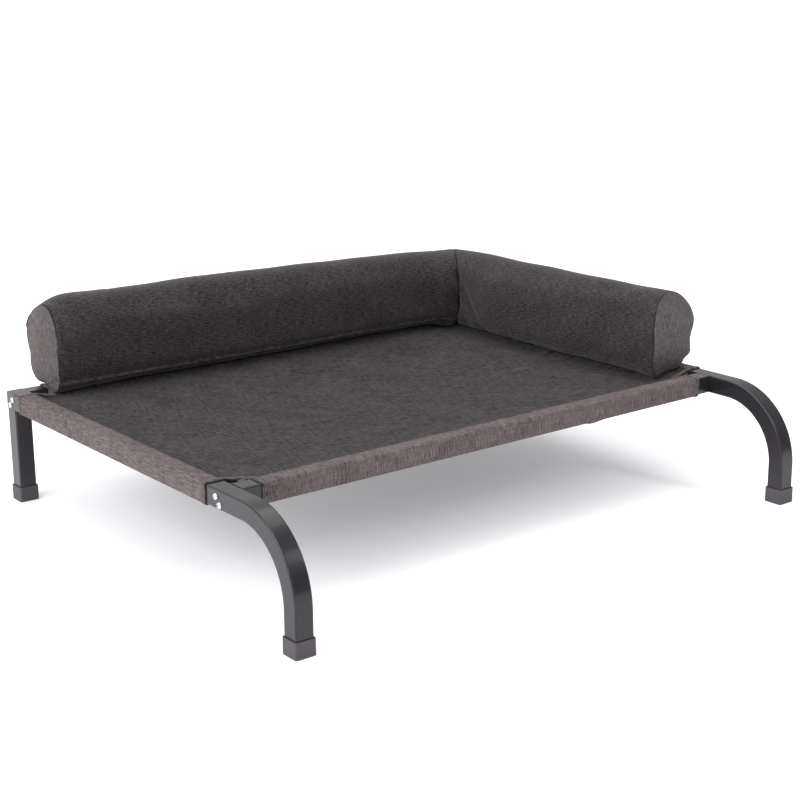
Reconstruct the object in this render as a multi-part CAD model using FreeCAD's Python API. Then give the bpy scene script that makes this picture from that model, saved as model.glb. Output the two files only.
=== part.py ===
"""Raised dog bed: a square-tube frame, a stretched sling and an L-shaped bolster.

Millimetres. +Z is up, +X runs along the long side and +Y runs from the open front to the bolster
at the back. The origin is on the floor, under the middle of the object's box.
"""

import FreeCAD, Part
import math
import os

Vector = FreeCAD.Vector
X = Vector(1, 0, 0)
Y = Vector(0, 1, 0)
Z = Vector(0, 0, 1)

# ---------------------------------------------------------------- driving dimensions
# frame
LENGTH = 1098.0             # over the outer faces of the legs
PLATFORM_DEPTH = 743.0      # front face of the front stubs to the back face of the back legs
PLATFORM_FRONT = -306.0     # where the front stubs' front face stands
TOP = 206.0                 # floor to the top of every tube
TUBE = 32.0                 # square tube, across
WALL = 1.2
TUBE_CORNER = 3.0           # outer corner radius of the tube
LEG_BEND = 121.0            # centre-line radius of a front leg's bend
FRONT_REACH = 179.7         # how far a front leg stands out in front of the platform
MOUTH_INSET = 20.0          # a leg's mouth reaches this far past its stub, towards the middle
STUB_LENGTH = 34.0
STUB_PLATE = 4.0            # end plate that the bolts pull against

# joints between the tubes
SPIGOT_CLEARANCE = 0.1
SPIGOT_WALL = 1.5
SPIGOT_IN_RAIL = 50.0
SPIGOT_IN_LEG = 46.0
SPIGOT_IN_STUB = 21.0
COLLAR = 2.0                # thickness of a nylon collar
COLLAR_PROUD = 0.9          # how far it stands out round the tube

# fasteners, M6
BOLT_PLACES = ((28.0, 12.0), (38.0, 23.5))   # from the leg's mouth, and below the tube's top
BOLT_DIAMETER = 5.9
BOLT_HOLE = 6.6
BOLT_HEAD = 10.7
BOLT_HEAD_HEIGHT = 3.3
BOLT_HEAD_ROUND = 2.6
SOCKET_ACROSS = 4.0
SOCKET_DEPTH = 2.0
NUT_ACROSS = 10.0
NUT_HEIGHT = 5.0
NUT_BORE = 6.0
BOLT_OVERRUN = 1.0          # thread showing past the nut

# foot caps
CAP_WALL = 2.2
CAP_CLEARANCE = 0.1
CAP_HEIGHT = 27.4
CAP_FLOOR = 4.0
CAP_CORNER = 3.5

# sling
CLOTH = 1.6
CLOTH_GAP = 0.4             # between the cloth and a rail
FLAP = 45.0                 # the sleeve's flap, turned in under the deck
FLAP_END = 16.0             # a long side's flap stops this far short of its sleeve's end
TAPE_WIDTH = 25.0
TAPE = 1.4                  # thickness of a hook or loop tape
TAPE_INSET = 12.0

# hook and loop patches that hold the bolster
PATCH_WIDTH = 25.0
PATCH_LENGTH = 60.0
PATCH_INSET = 18.5          # from the leg's inner face to the middle of the front right patch
HOOK_PATCH = 1.6            # thickness, with its sewn edge
PATCH_GAP = 0.2             # between cloth and patch, and between the two patches

# bolster
BOLSTER_BACK = 488.0        # its furthest point behind
BOLSTER_RIGHT = 552.2       # its furthest point on the right
BACK_WIDTH = 130.0
SIDE_WIDTH = 108.0
BOLSTER_HEIGHT = 149.6
BOLSTER_LEFT = -481.0       # left end of the back arm
BOLSTER_FRONT = -232.0      # front end of the side arm
COVER = 1.6
FILL_GAP = 0.4              # between the cover and its filling
MITRE_OVERRUN = 60.0        # how far the cutting wedges reach past the bolster

# zip along the back of the bolster
ZIP_FROM = -415.0
ZIP_TO = 415.0
ZIP_TAPE_WIDTH = 26.0
ZIP_TAPE = 0.9
COIL_WIDTH = 5.0
COIL_HEIGHT = 1.6
RUNNING_GAP = 0.35          # between the slider and what it runs on
SLIDER_LENGTH = 11.0
SLIDER_WIDTH = 9.6
SLIDER_ROOF = 1.6
SLIDER_FROM_END = 12.0      # where the closed slider stands, from the zip's left end
LUG_LENGTH = 5.0
LUG_WIDTH = 2.0
PIN_DIAMETER = 1.6
PULL_LENGTH = 24.0          # below the slider's pin
PULL_NECK = 4.4             # below the pin, as wide as the eye
PULL_WIDTH = 7.0
PULL_THICKNESS = 1.2

# ---------------------------------------------------------------- worked-out places
HALF = LENGTH / 2
TUBE_Z = TOP - TUBE / 2
FRONT_RAIL_Y = PLATFORM_FRONT + TUBE / 2
BACK_RAIL_Y = PLATFORM_FRONT + PLATFORM_DEPTH - TUBE / 2
END_RAIL_X = HALF - TUBE / 2
LEG_INNER_X = HALF - TUBE
STUB_MOUTH_X = LEG_INNER_X - STUB_LENGTH
MOUTH_FROM_RAIL = TUBE / 2 + MOUTH_INSET
FRONT_MOUTH_Y = FRONT_RAIL_Y + MOUTH_FROM_RAIL
BACK_MOUTH_Y = BACK_RAIL_Y - MOUTH_FROM_RAIL
FRONT_FOOT_Y = PLATFORM_FRONT - FRONT_REACH + TUBE / 2
DECK_UNDER = TOP + CLOTH_GAP
DECK_OVER = DECK_UNDER + CLOTH
HOOK_UNDER = DECK_OVER + PATCH_GAP
LOOP_UNDER = HOOK_UNDER + HOOK_PATCH + PATCH_GAP
BOLSTER_BASE = LOOP_UNDER + TAPE
SPIGOT = TUBE - 2 * WALL - 2 * SPIGOT_CLEARANCE
SPIGOT_CORNER = TUBE_CORNER - WALL
BOLSTER_INNER_X = BOLSTER_RIGHT - SIDE_WIDTH
BOLSTER_INNER_Y = BOLSTER_BACK - BACK_WIDTH

SIDES = {"left": -1, "right": 1}
ENDS = {"front": -1, "back": 1}
RAIL_Y = {"front": FRONT_RAIL_Y, "back": BACK_RAIL_Y}
MOUTH_Y = {"front": FRONT_MOUTH_Y, "back": BACK_MOUTH_Y}
FOOT_Y = {"front": FRONT_FOOT_Y, "back": BACK_RAIL_Y}
CORNERS = [(end, side) for end in ENDS for side in SIDES]

# the bolster's section, as shares of its width and height from its lower inside edge
INNER_LEAN = 0.03
HEEL = (0.83, 0.10)
BASE = 0.68


# ---------------------------------------------------------------- shape helpers
def across(normal):
    """Two unit vectors square to the normal and to each other."""
    u = Y if abs(normal.x) > 0.5 else X
    return u, normal.cross(u)


def rounded_square(centre, normal, size, radius):
    """Closed wire: a square this far across with rounded corners, lying square to the normal."""
    u, v = across(normal)
    reach = size / 2 - radius
    edges = []
    last = None
    for corner in range(4):
        middle = math.radians(90 * corner + 45)
        pivot = centre + (u * math.cos(middle) + v * math.sin(middle)) * reach * math.sqrt(2)
        angles = [middle - math.pi / 4, middle, middle + math.pi / 4]
        start, mid, end = [pivot + (u * math.cos(a) + v * math.sin(a)) * radius for a in angles]
        if last is None:
            first = start
        else:
            edges.append(Part.LineSegment(last, start).toShape())
        edges.append(Part.Arc(start, mid, end).toShape())
        last = end
    edges.append(Part.LineSegment(last, first).toShape())
    return Part.Wire(edges)


def bar(start, end, size, radius):
    """Solid bar of rounded square section between two points."""
    run = end - start
    direction = Vector(run).normalize()
    return Part.Face(rounded_square(start, direction, size, radius)).extrude(run)


def square_tube(start, end, size, wall, radius):
    """Square tube, open at both ends."""
    return bar(start, end, size, radius).cut(bar(start, end, size - 2 * wall, radius - wall))


def box(low, high):
    """Solid box between two opposite corners."""
    low = Vector(*low)
    high = Vector(*high)
    corner = Vector(min(low.x, high.x), min(low.y, high.y), min(low.z, high.z))
    return Part.makeBox(abs(high.x - low.x), abs(high.y - low.y), abs(high.z - low.z), corner)


def joined(shapes):
    """One solid made of touching shapes, without the seams between them."""
    return shapes[0].multiFuse(shapes[1:]).removeSplitter()


def bolt_centres(end):
    """Y and Z of one corner's two bolts."""
    return [(MOUTH_Y[end] + ENDS[end] * back, TOP - down) for back, down in BOLT_PLACES]


def drilled(shape, end, side, depth):
    """The shape with one corner's two bolt holes, this deep from the leg's outer face."""
    inward = X * -SIDES[side]
    for y, z in bolt_centres(end):
        start = Vector(SIDES[side] * HALF, y, z) - inward
        shape = shape.cut(Part.makeCylinder(BOLT_HOLE / 2, depth + 1, start, inward))
    return shape


# ---------------------------------------------------------------- frame
def front_bar(x, size, radius, wall):
    """A front leg's solid bar: level from the mouth, a quarter bend, then down to the cap's floor."""
    bend_y = FRONT_FOOT_Y + LEG_BEND
    bend_start = Vector(x, bend_y, TUBE_Z)
    bend_centre = Vector(x, bend_y, TUBE_Z - LEG_BEND)
    bend_end = Vector(x, FRONT_FOOT_Y, TUBE_Z - LEG_BEND)
    level = bar(Vector(x, FRONT_MOUTH_Y + wall, TUBE_Z), bend_start, size, radius)
    bend = Part.Face(rounded_square(bend_start, Y, size, radius)).revolve(bend_centre, X, 90)
    upright = bar(bend_end, Vector(x, FRONT_FOOT_Y, CAP_FLOOR - wall), size, radius)
    return joined([level, bend, upright])


def back_bar(x, size, radius, wall):
    """A back leg's solid bar: a short level arm mitred into a straight post."""
    arm_end = BACK_RAIL_Y + size / 2
    arm = bar(Vector(x, BACK_MOUTH_Y - wall, TUBE_Z), Vector(x, arm_end, TUBE_Z), size, radius)
    foot = Vector(x, BACK_RAIL_Y, CAP_FLOOR - wall)
    post = bar(foot, Vector(x, BACK_RAIL_Y, TUBE_Z + size / 2), size, radius)
    return joined([arm, post])


def leg(end, side):
    """Hollow leg with its bolt holes, open at the mouth and at the foot."""
    solid_bar = front_bar if end == "front" else back_bar
    x = SIDES[side] * END_RAIL_X
    outside = solid_bar(x, TUBE, TUBE_CORNER, 0)
    inside = solid_bar(x, TUBE - 2 * WALL, TUBE_CORNER - WALL, WALL)
    return drilled(outside.cut(inside), end, side, TUBE)


def stub(end, side):
    """Short tube that stands on the leg's inner face, closed there by the plate the bolts pull on."""
    s = SIDES[side]
    root = Vector(s * LEG_INNER_X, RAIL_Y[end], TUBE_Z)
    sleeve = square_tube(root, Vector(s * STUB_MOUTH_X, RAIL_Y[end], TUBE_Z), TUBE, WALL, TUBE_CORNER)
    plate = bar(root, root - X * s * STUB_PLATE, TUBE - 2 * WALL, TUBE_CORNER - WALL)
    return drilled(joined([sleeve, plate]), end, side, TUBE + STUB_PLATE)


def long_rail(end):
    """Front or back rail, collar to collar."""
    reach = STUB_MOUTH_X - COLLAR
    ends = [Vector(s * reach, RAIL_Y[end], TUBE_Z) for s in (-1, 1)]
    return square_tube(*ends, TUBE, WALL, TUBE_CORNER)


def end_rail(side):
    """Left or right rail, collar to collar."""
    x = SIDES[side] * END_RAIL_X
    ends = [Vector(x, MOUTH_Y[end] - ENDS[end] * COLLAR, TUBE_Z) for end in ENDS]
    return square_tube(*ends, TUBE, WALL, TUBE_CORNER)


def end_rail_spigot(end, side):
    """Square tube fixed in the end rail and bolted into the leg."""
    x = SIDES[side] * END_RAIL_X
    out = ENDS[end]
    in_leg = Vector(x, MOUTH_Y[end] + out * SPIGOT_IN_LEG, TUBE_Z)
    in_rail = Vector(x, MOUTH_Y[end] - out * (COLLAR + SPIGOT_IN_RAIL), TUBE_Z)
    spigot = square_tube(in_rail, in_leg, SPIGOT, SPIGOT_WALL, SPIGOT_CORNER)
    return drilled(spigot, end, side, TUBE)


def long_rail_spigot(end, side):
    """Square tube fixed in the long rail and pushed into the stub."""
    s = SIDES[side]
    in_stub = Vector(s * (STUB_MOUTH_X + SPIGOT_IN_STUB), RAIL_Y[end], TUBE_Z)
    in_rail = Vector(s * (STUB_MOUTH_X - COLLAR - SPIGOT_IN_RAIL), RAIL_Y[end], TUBE_Z)
    return square_tube(in_rail, in_stub, SPIGOT, SPIGOT_WALL, SPIGOT_CORNER)


def collar(start, end):
    """Square nylon ring round a spigot, a little proud of the tubes it parts."""
    hole = SPIGOT + 2 * SPIGOT_CLEARANCE
    ring = bar(start, end, TUBE + 2 * COLLAR_PROUD, TUBE_CORNER)
    return ring.cut(bar(start, end, hole, SPIGOT_CORNER))


def leg_mouth_collar(end, side):
    """Collar between a leg's mouth and the end rail."""
    mouth = Vector(SIDES[side] * END_RAIL_X, MOUTH_Y[end], TUBE_Z)
    return collar(mouth, mouth - Y * ENDS[end] * COLLAR)


def stub_mouth_collar(end, side):
    """Collar between a stub's mouth and the long rail."""
    mouth = Vector(SIDES[side] * STUB_MOUTH_X, RAIL_Y[end], TUBE_Z)
    return collar(mouth, mouth - X * SIDES[side] * COLLAR)


def corner_bolt(end, side, y, z):
    """Button-head socket screw through leg, spigot and stub plate."""
    out = X * SIDES[side]
    face = Vector(SIDES[side] * HALF, y, z)
    head = Part.makeCylinder(BOLT_HEAD / 2, BOLT_HEAD_HEIGHT, face, out)
    rim = max(head.Edges, key=lambda edge: edge.CenterOfMass.dot(out) if edge.Closed else -LENGTH)
    head = head.makeFillet(BOLT_HEAD_ROUND, [rim])
    socket_floor = face + out * (BOLT_HEAD_HEIGHT - SOCKET_DEPTH)
    head = head.cut(hexagon(socket_floor, out * SOCKET_DEPTH, SOCKET_ACROSS))
    shank_length = TUBE + STUB_PLATE + NUT_HEIGHT + BOLT_OVERRUN
    shank = Part.makeCylinder(BOLT_DIAMETER / 2, shank_length, face, out * -1)
    return joined([head, shank])


def corner_nut(side, y, z):
    """Hexagon nut welded behind the stub plate."""
    inward = X * -SIDES[side]
    seat = Vector(SIDES[side] * (LEG_INNER_X - STUB_PLATE), y, z)
    bore = Part.makeCylinder(NUT_BORE / 2, NUT_HEIGHT, seat, inward)
    return hexagon(seat, inward * NUT_HEIGHT, NUT_ACROSS).cut(bore)


def hexagon(centre, height, size):
    """Solid hexagonal prism, this far across its flats."""
    u, v = across(Vector(height).normalize())
    radius = size / math.sqrt(3)
    turns = [math.radians(60 * corner) for corner in range(7)]
    points = [centre + (u * math.cos(a) + v * math.sin(a)) * radius for a in turns]
    return Part.Face(Part.makePolygon(points)).extrude(height)


def foot_cap(end, side):
    """Moulded cup pushed over the foot of a leg."""
    x = SIDES[side] * END_RAIL_X
    inner = TUBE + 2 * CAP_CLEARANCE
    foot = Vector(x, FOOT_Y[end], 0)
    cup = bar(foot, foot + Z * CAP_HEIGHT, inner + 2 * CAP_WALL, CAP_CORNER)
    return cup.cut(bar(foot + Z * CAP_FLOOR, foot + Z * CAP_HEIGHT, inner, TUBE_CORNER))


# ---------------------------------------------------------------- sling
def deck_panel():
    """Flat cloth between the rails, notched where a stub and a leg meet."""
    low = (-LEG_INNER_X, FRONT_RAIL_Y + TUBE / 2, DECK_UNDER)
    high = (LEG_INNER_X, BACK_RAIL_Y - TUBE / 2, DECK_OVER)
    deck = box(low, high)
    for end, side in CORNERS:
        notch_x = SIDES[side] * (STUB_MOUTH_X - COLLAR)
        notch_y = MOUTH_Y[end] - ENDS[end] * COLLAR
        corner = (SIDES[side] * HALF, RAIL_Y[end])
        deck = deck.cut(box((notch_x, notch_y, 0), (*corner, TOP + TUBE)))
    return deck


def sleeve(start, end, inward, flap_end):
    """Cloth round a rail: off the deck, over, down and under it, then back in under the deck."""
    inner = TUBE + 2 * CLOTH_GAP
    ring = square_tube(start, end, inner + 2 * CLOTH, CLOTH, TUBE_CORNER + CLOTH)
    along = Vector(end - start).normalize()
    flap_top = DECK_UNDER - 2 * TAPE
    inner_face = inward * (TUBE / 2)
    opening_low = start + inner_face + Z * (flap_top - TUBE_Z)
    opening_high = end + inner_face + inward * TUBE + Z * TUBE
    flap_low = start + along * flap_end + inner_face + inward * CLOTH_GAP + Z * (flap_top - CLOTH - TUBE_Z)
    flap_high = end - along * flap_end + inner_face + inward * FLAP + Z * (flap_top - TUBE_Z)
    wrap = ring.cut(box(opening_low, opening_high))
    return joined([wrap, box(flap_low, flap_high)])


def long_sleeve(end):
    """Sleeve of the front or the back rail."""
    reach = STUB_MOUTH_X - COLLAR
    ends = [Vector(s * reach, RAIL_Y[end], TUBE_Z) for s in (-1, 1)]
    return sleeve(*ends, Y * -ENDS[end], FLAP_END)


def end_sleeve(side):
    """Sleeve of the left or the right rail."""
    x = SIDES[side] * END_RAIL_X
    ends = [Vector(x, MOUTH_Y[end] - ENDS[end] * COLLAR, TUBE_Z) for end in ENDS]
    return sleeve(*ends, X * -SIDES[side], 0)


def closing_tapes(under):
    """Four strips of tape, one to a flap, with their lower face at this height."""
    reach_x = STUB_MOUTH_X - COLLAR - FLAP_END
    tapes = []
    for end, out in ENDS.items():
        outer = RAIL_Y[end] - out * (TUBE / 2 + TAPE_INSET)
        tapes.append(box((-reach_x, outer, under), (reach_x, outer - out * TAPE_WIDTH, under + TAPE)))
    for out in SIDES.values():
        outer = out * (LEG_INNER_X - TAPE_INSET)
        ends_y = (FRONT_MOUTH_Y + FLAP, BACK_MOUTH_Y - FLAP)
        low = (outer, ends_y[0], under)
        tapes.append(box(low, (outer - out * TAPE_WIDTH, ends_y[1], under + TAPE)))
    return Part.makeCompound(tapes)


# ---------------------------------------------------------------- bolster
def shoulder_height(width):
    """Height where the round crown starts: half the width below the top."""
    return BOLSTER_HEIGHT - width / 2


def section(point, width):
    """Closed wire of the bolster's outside: flat base, near-upright inner face, round crown and back.

    point(across, height) places a point of the section in space.
    """
    shoulder = shoulder_height(width)
    toe = point(0, 0)
    inner = point(INNER_LEAN * width, shoulder)
    crown = point((1 + INNER_LEAN) * width / 2, BOLSTER_HEIGHT)
    outer = point(width, shoulder)
    heel = point(HEEL[0] * width, HEEL[1] * BOLSTER_HEIGHT)
    base = point(BASE * width, 0)
    edges = [
        Part.LineSegment(toe, inner).toShape(),
        Part.Arc(inner, crown, outer).toShape(),
        Part.LineSegment(outer, heel).toShape(),
        Part.LineSegment(heel, base).toShape(),
        Part.LineSegment(base, toe).toShape(),
    ]
    return Part.Wire(edges)


def back_section(x, inset):
    """Section of the back arm at this X, drawn in from the outside by the inset."""
    def point(out, up):
        return Vector(x, BOLSTER_INNER_Y + out, BOLSTER_BASE + up)
    return inset_wire(section(point, BACK_WIDTH), inset)


def side_section(y, inset):
    """Section of the side arm at this Y, drawn in from the outside by the inset."""
    def point(out, up):
        return Vector(BOLSTER_INNER_X + out, y, BOLSTER_BASE + up)
    return inset_wire(section(point, SIDE_WIDTH), inset)


def inset_wire(wire, inset):
    """The wire, or the wire drawn in by the inset."""
    return wire.makeOffset2D(-inset) if inset else wire


def mitre_x(y):
    """X of the mitre seam at this Y: from the inner corner to the outer corner of the bolster."""
    return BOLSTER_INNER_X + (y - BOLSTER_INNER_Y) * SIDE_WIDTH / BACK_WIDTH


def back_arm(inset, end_inset):
    """Solid back arm, from its left end to the mitre."""
    start = BOLSTER_LEFT + end_inset
    run = BOLSTER_RIGHT + MITRE_OVERRUN - start
    arm = Part.Face(back_section(start, inset)).extrude(X * run)
    low_y = BOLSTER_INNER_Y - MITRE_OVERRUN
    high_y = BOLSTER_BACK + MITRE_OVERRUN
    plan = [(start, low_y), (mitre_x(low_y), low_y), (mitre_x(high_y), high_y), (start, high_y)]
    return arm.common(wedge(plan))


def side_arm(inset, end_inset):
    """Solid side arm, from its front end to the mitre."""
    start = BOLSTER_FRONT + end_inset
    run = BOLSTER_BACK + MITRE_OVERRUN - start
    arm = Part.Face(side_section(start, inset)).extrude(Y * run)
    low_y = BOLSTER_INNER_Y - MITRE_OVERRUN
    high_y = BOLSTER_BACK + MITRE_OVERRUN
    far_x = BOLSTER_RIGHT + 2 * MITRE_OVERRUN
    near_x = mitre_x(low_y)
    plan = [(near_x, start), (far_x, start), (far_x, high_y), (mitre_x(high_y), high_y), (near_x, low_y)]
    return arm.common(wedge(plan))


def wedge(plan):
    """Upright prism over a plan outline, taller than the bolster."""
    low = BOLSTER_BASE - MITRE_OVERRUN
    points = [Vector(x, y, low) for x, y in plan + plan[:1]]
    return Part.Face(Part.makePolygon(points)).extrude(Z * (BOLSTER_HEIGHT + 2 * MITRE_OVERRUN))


def end_panel(wire, direction):
    """Cut panel of cloth that closes an arm's end."""
    return Part.Face(wire).extrude(direction * COVER)


def patches(under, over):
    """Three patches between two heights: near each end of the back rail, and at the front right."""
    half = PATCH_WIDTH / 2
    back_x = STUB_MOUTH_X - COLLAR - FLAP_END
    made = []
    for side in SIDES.values():
        low = (side * back_x, BACK_RAIL_Y - half, under)
        made.append(box(low, (side * (back_x - PATCH_LENGTH), BACK_RAIL_Y + half, over)))
    front_x = LEG_INNER_X - PATCH_INSET
    front_y = BOLSTER_FRONT + FLAP_END
    low = (front_x - half, front_y, under)
    made.append(box(low, (front_x + half, front_y + PATCH_LENGTH, over)))
    return Part.makeCompound(made)


# ---------------------------------------------------------------- zip
# the zip lies on the straight part of the back arm's outer face, halfway up it
ZIP_TOP = Vector(0, BOLSTER_BACK, BOLSTER_BASE + shoulder_height(BACK_WIDTH))
ZIP_FOOT = Vector(0, BOLSTER_INNER_Y + HEEL[0] * BACK_WIDTH, BOLSTER_BASE + HEEL[1] * BOLSTER_HEIGHT)
ZIP_UP = Vector(ZIP_TOP - ZIP_FOOT).normalize()
ZIP_OUT = ZIP_UP.cross(X)
ZIP_LINE = (ZIP_TOP + ZIP_FOOT) * 0.5
COIL_TOP = ZIP_TAPE + COIL_HEIGHT
ROOF_UNDER = COIL_TOP + RUNNING_GAP
ROOF_OVER = ROOF_UNDER + SLIDER_ROOF
EYE_BORE = PIN_DIAMETER / 2 + RUNNING_GAP / 2
EYE_RADIUS = EYE_BORE + PULL_THICKNESS
PIN_OUT = ROOF_OVER + RUNNING_GAP + EYE_RADIUS
SLIDER_X = ZIP_FROM + SLIDER_FROM_END


def zip_block(x_range, up_range, out_range):
    """Block on the zip's slope: along X, up the slope and out from the cover, from the zip's line."""
    low = ZIP_LINE + X * x_range[0] + ZIP_UP * up_range[0] + ZIP_OUT * out_range[0]
    sides = [X * (x_range[1] - x_range[0]), ZIP_UP * (up_range[1] - up_range[0])]
    outline = [low, low + sides[0], low + sides[0] + sides[1], low + sides[1], low]
    return Part.Face(Part.makePolygon(outline)).extrude(ZIP_OUT * (out_range[1] - out_range[0]))


def zip_tape():
    """The zip's woven tape, sewn flat on the cover."""
    half = ZIP_TAPE_WIDTH / 2
    return zip_block((ZIP_FROM, ZIP_TO), (-half, half), (0, ZIP_TAPE))


def zip_coil():
    """The closed coil, as a plain ridge down the middle of the tape."""
    half = COIL_WIDTH / 2
    return zip_block((ZIP_FROM, ZIP_TO), (-half, half), (ZIP_TAPE, COIL_TOP))


def zip_slider():
    """Slider: a roof over the coil, two cheeks beside it and a lug with the pull's pin."""
    along = (SLIDER_X - SLIDER_LENGTH / 2, SLIDER_X + SLIDER_LENGTH / 2)
    half = SLIDER_WIDTH / 2
    channel = COIL_WIDTH / 2 + RUNNING_GAP
    body = zip_block(along, (-half, half), (ZIP_TAPE + RUNNING_GAP, ROOF_OVER))
    body = body.cut(zip_block(along, (-channel, channel), (0, ROOF_UNDER)))
    lug_along = (SLIDER_X - LUG_LENGTH / 2, SLIDER_X + LUG_LENGTH / 2)
    lug_half = LUG_WIDTH / 2
    legs = []
    for end in lug_along:
        leg_along = (end - PIN_DIAMETER / 2, end + PIN_DIAMETER / 2)
        legs.append(zip_block(leg_along, (-lug_half, lug_half), (ROOF_OVER, PIN_OUT)))
    pin_start = ZIP_LINE + X * (lug_along[0] - PIN_DIAMETER / 2) + ZIP_OUT * PIN_OUT
    pin = Part.makeCylinder(PIN_DIAMETER / 2, LUG_LENGTH + PIN_DIAMETER, pin_start, X)
    return joined([body, *legs, pin])


def zip_pull():
    """Pull tab hanging from the slider's pin."""
    pin = ZIP_LINE + X * SLIDER_X + ZIP_OUT * PIN_OUT
    eye_length = LUG_LENGTH - PIN_DIAMETER - 2 * RUNNING_GAP
    eye_start = pin - X * (eye_length / 2)
    eye = Part.makeCylinder(EYE_RADIUS, eye_length, eye_start, X)
    neck = box((pin.x - eye_length / 2, pin.y - PULL_THICKNESS / 2, pin.z - PULL_NECK),
               (pin.x + eye_length / 2, pin.y + PULL_THICKNESS / 2, pin.z))
    tab = box((pin.x - PULL_WIDTH / 2, pin.y - PULL_THICKNESS / 2, pin.z - PULL_LENGTH),
              (pin.x + PULL_WIDTH / 2, pin.y + PULL_THICKNESS / 2, pin.z - PULL_NECK))
    bore = Part.makeCylinder(EYE_BORE, eye_length, eye_start, X)
    return joined([eye, neck, tab]).cut(bore)


# ---------------------------------------------------------------- nodes
def corner_group(make):
    """One node of four separate solids, one at each corner."""
    return Part.makeCompound([make(end, side) for end, side in CORNERS])


def corner_nodes(suffix, make):
    """Four nodes, one at each corner."""
    return {f"{end}_{side}_{suffix}": make(end, side) for end, side in CORNERS}


def frame_nodes():
    """The steel frame, its plastics and its fasteners."""
    bolts = []
    nuts = []
    for end, side in CORNERS:
        for y, z in bolt_centres(end):
            bolts.append(corner_bolt(end, side, y, z))
            nuts.append(corner_nut(side, y, z))
    return {
        **corner_nodes("leg", leg),
        **corner_nodes("stub", stub),
        **{f"{end}_rail": long_rail(end) for end in ENDS},
        **{f"{side}_end_rail": end_rail(side) for side in SIDES},
        "end_rail_spigots": corner_group(end_rail_spigot),
        "long_rail_spigots": corner_group(long_rail_spigot),
        "leg_mouth_collars": corner_group(leg_mouth_collar),
        "stub_mouth_collars": corner_group(stub_mouth_collar),
        **corner_nodes("foot_cap", foot_cap),
        "corner_bolts": Part.makeCompound(bolts),
        "corner_nuts": Part.makeCompound(nuts),
    }


def sling_nodes():
    """The cloth sling with its closing tapes, and the patches that hold the bolster."""
    return {
        "deck_panel": deck_panel(),
        **{f"{end}_sleeve": long_sleeve(end) for end in ENDS},
        **{f"{side}_sleeve": end_sleeve(side) for side in SIDES},
        "sling_hook_tapes": closing_tapes(DECK_UNDER - 2 * TAPE),
        "sling_loop_tapes": closing_tapes(DECK_UNDER - TAPE),
        "bolster_hook_patches": patches(HOOK_UNDER, HOOK_UNDER + HOOK_PATCH),
    }


def bolster_nodes():
    """The L-shaped bolster: sewn cover, filling, loop patches and zip."""
    skin = COVER + FILL_GAP
    return {
        "bolster_back_cover": back_arm(0, COVER).cut(back_arm(COVER, COVER)),
        "bolster_side_cover": side_arm(0, COVER).cut(side_arm(COVER, COVER)),
        "bolster_back_end_panel": end_panel(back_section(BOLSTER_LEFT, 0), X),
        "bolster_side_end_panel": end_panel(side_section(BOLSTER_FRONT, 0), Y),
        "bolster_back_fill": back_arm(skin, skin),
        "bolster_side_fill": side_arm(skin, skin),
        "bolster_loop_patches": patches(LOOP_UNDER, BOLSTER_BASE),
        "zip_tape": zip_tape(),
        "zip_coil": zip_coil(),
        "zip_slider": zip_slider(),
        "zip_pull": zip_pull(),
    }


os.makedirs("parts", exist_ok=True)
for name, shape in {**frame_nodes(), **sling_nodes(), **bolster_nodes()}.items():
    shape.exportStep(f"parts/{name}.step")
    extent = shape.BoundBox
    print(f"{name:28s} solids {len(shape.Solids)}  valid {shape.isValid()}  "
          f"volume {shape.Volume / 1000:10.2f} cm3  "
          f"x {extent.XMin:.1f}..{extent.XMax:.1f}  y {extent.YMin:.1f}..{extent.YMax:.1f}  "
          f"z {extent.ZMin:.1f}..{extent.ZMax:.1f}")
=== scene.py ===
"""Looks of a raised dog bed: a square-tube frame, a taut sling and an L-shaped bolster.

Metres. +Z is up, +X runs along the long side and +Y from the open front to the bolster at the back.
"""

import bpy
import numpy as np
from mathutils import Matrix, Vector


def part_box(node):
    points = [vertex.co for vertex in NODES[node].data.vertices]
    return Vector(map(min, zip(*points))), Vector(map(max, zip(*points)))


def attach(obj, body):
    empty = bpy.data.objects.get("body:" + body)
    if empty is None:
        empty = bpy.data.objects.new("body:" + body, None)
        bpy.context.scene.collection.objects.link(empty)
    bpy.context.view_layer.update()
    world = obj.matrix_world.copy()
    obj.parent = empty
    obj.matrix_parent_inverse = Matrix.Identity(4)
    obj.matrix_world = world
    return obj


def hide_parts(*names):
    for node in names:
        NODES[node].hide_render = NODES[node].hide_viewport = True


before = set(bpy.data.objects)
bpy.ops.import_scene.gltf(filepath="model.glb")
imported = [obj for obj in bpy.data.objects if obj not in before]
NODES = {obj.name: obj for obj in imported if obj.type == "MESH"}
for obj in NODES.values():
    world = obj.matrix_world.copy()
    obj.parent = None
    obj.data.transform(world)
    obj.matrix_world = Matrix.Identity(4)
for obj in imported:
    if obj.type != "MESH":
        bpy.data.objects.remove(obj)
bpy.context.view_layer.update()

bl_info = {
    "name": "Raised dog bed",
    "version": (1, 0, 0),
    "blender": (4, 5, 0),
    "location": "View3D > Sidebar > Dog bed",
    "description": "Finishes the steel frame, sews the sling, stuffs the bolster and lights the bed",
    "category": "Object",
}

MM = 0.001


def linear(hex_colour):
    """Linear RGBA of an sRGB hex colour: the inverse of the sRGB transfer curve on each channel."""
    srgb = np.array([int(hex_colour[start:start + 2], 16) for start in (1, 3, 5)]) / 255
    curve = np.where(srgb <= 0.04045, srgb / 12.92, ((srgb + 0.055) / 1.055) ** 2.4)
    return (*curve.tolist(), 1.0)


# ---------------------------------------------------------------- places read from the frame
def corners(node):
    """Lowest and highest corner of a CAD node as arrays."""
    return [np.array(corner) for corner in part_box(node)]


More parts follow.
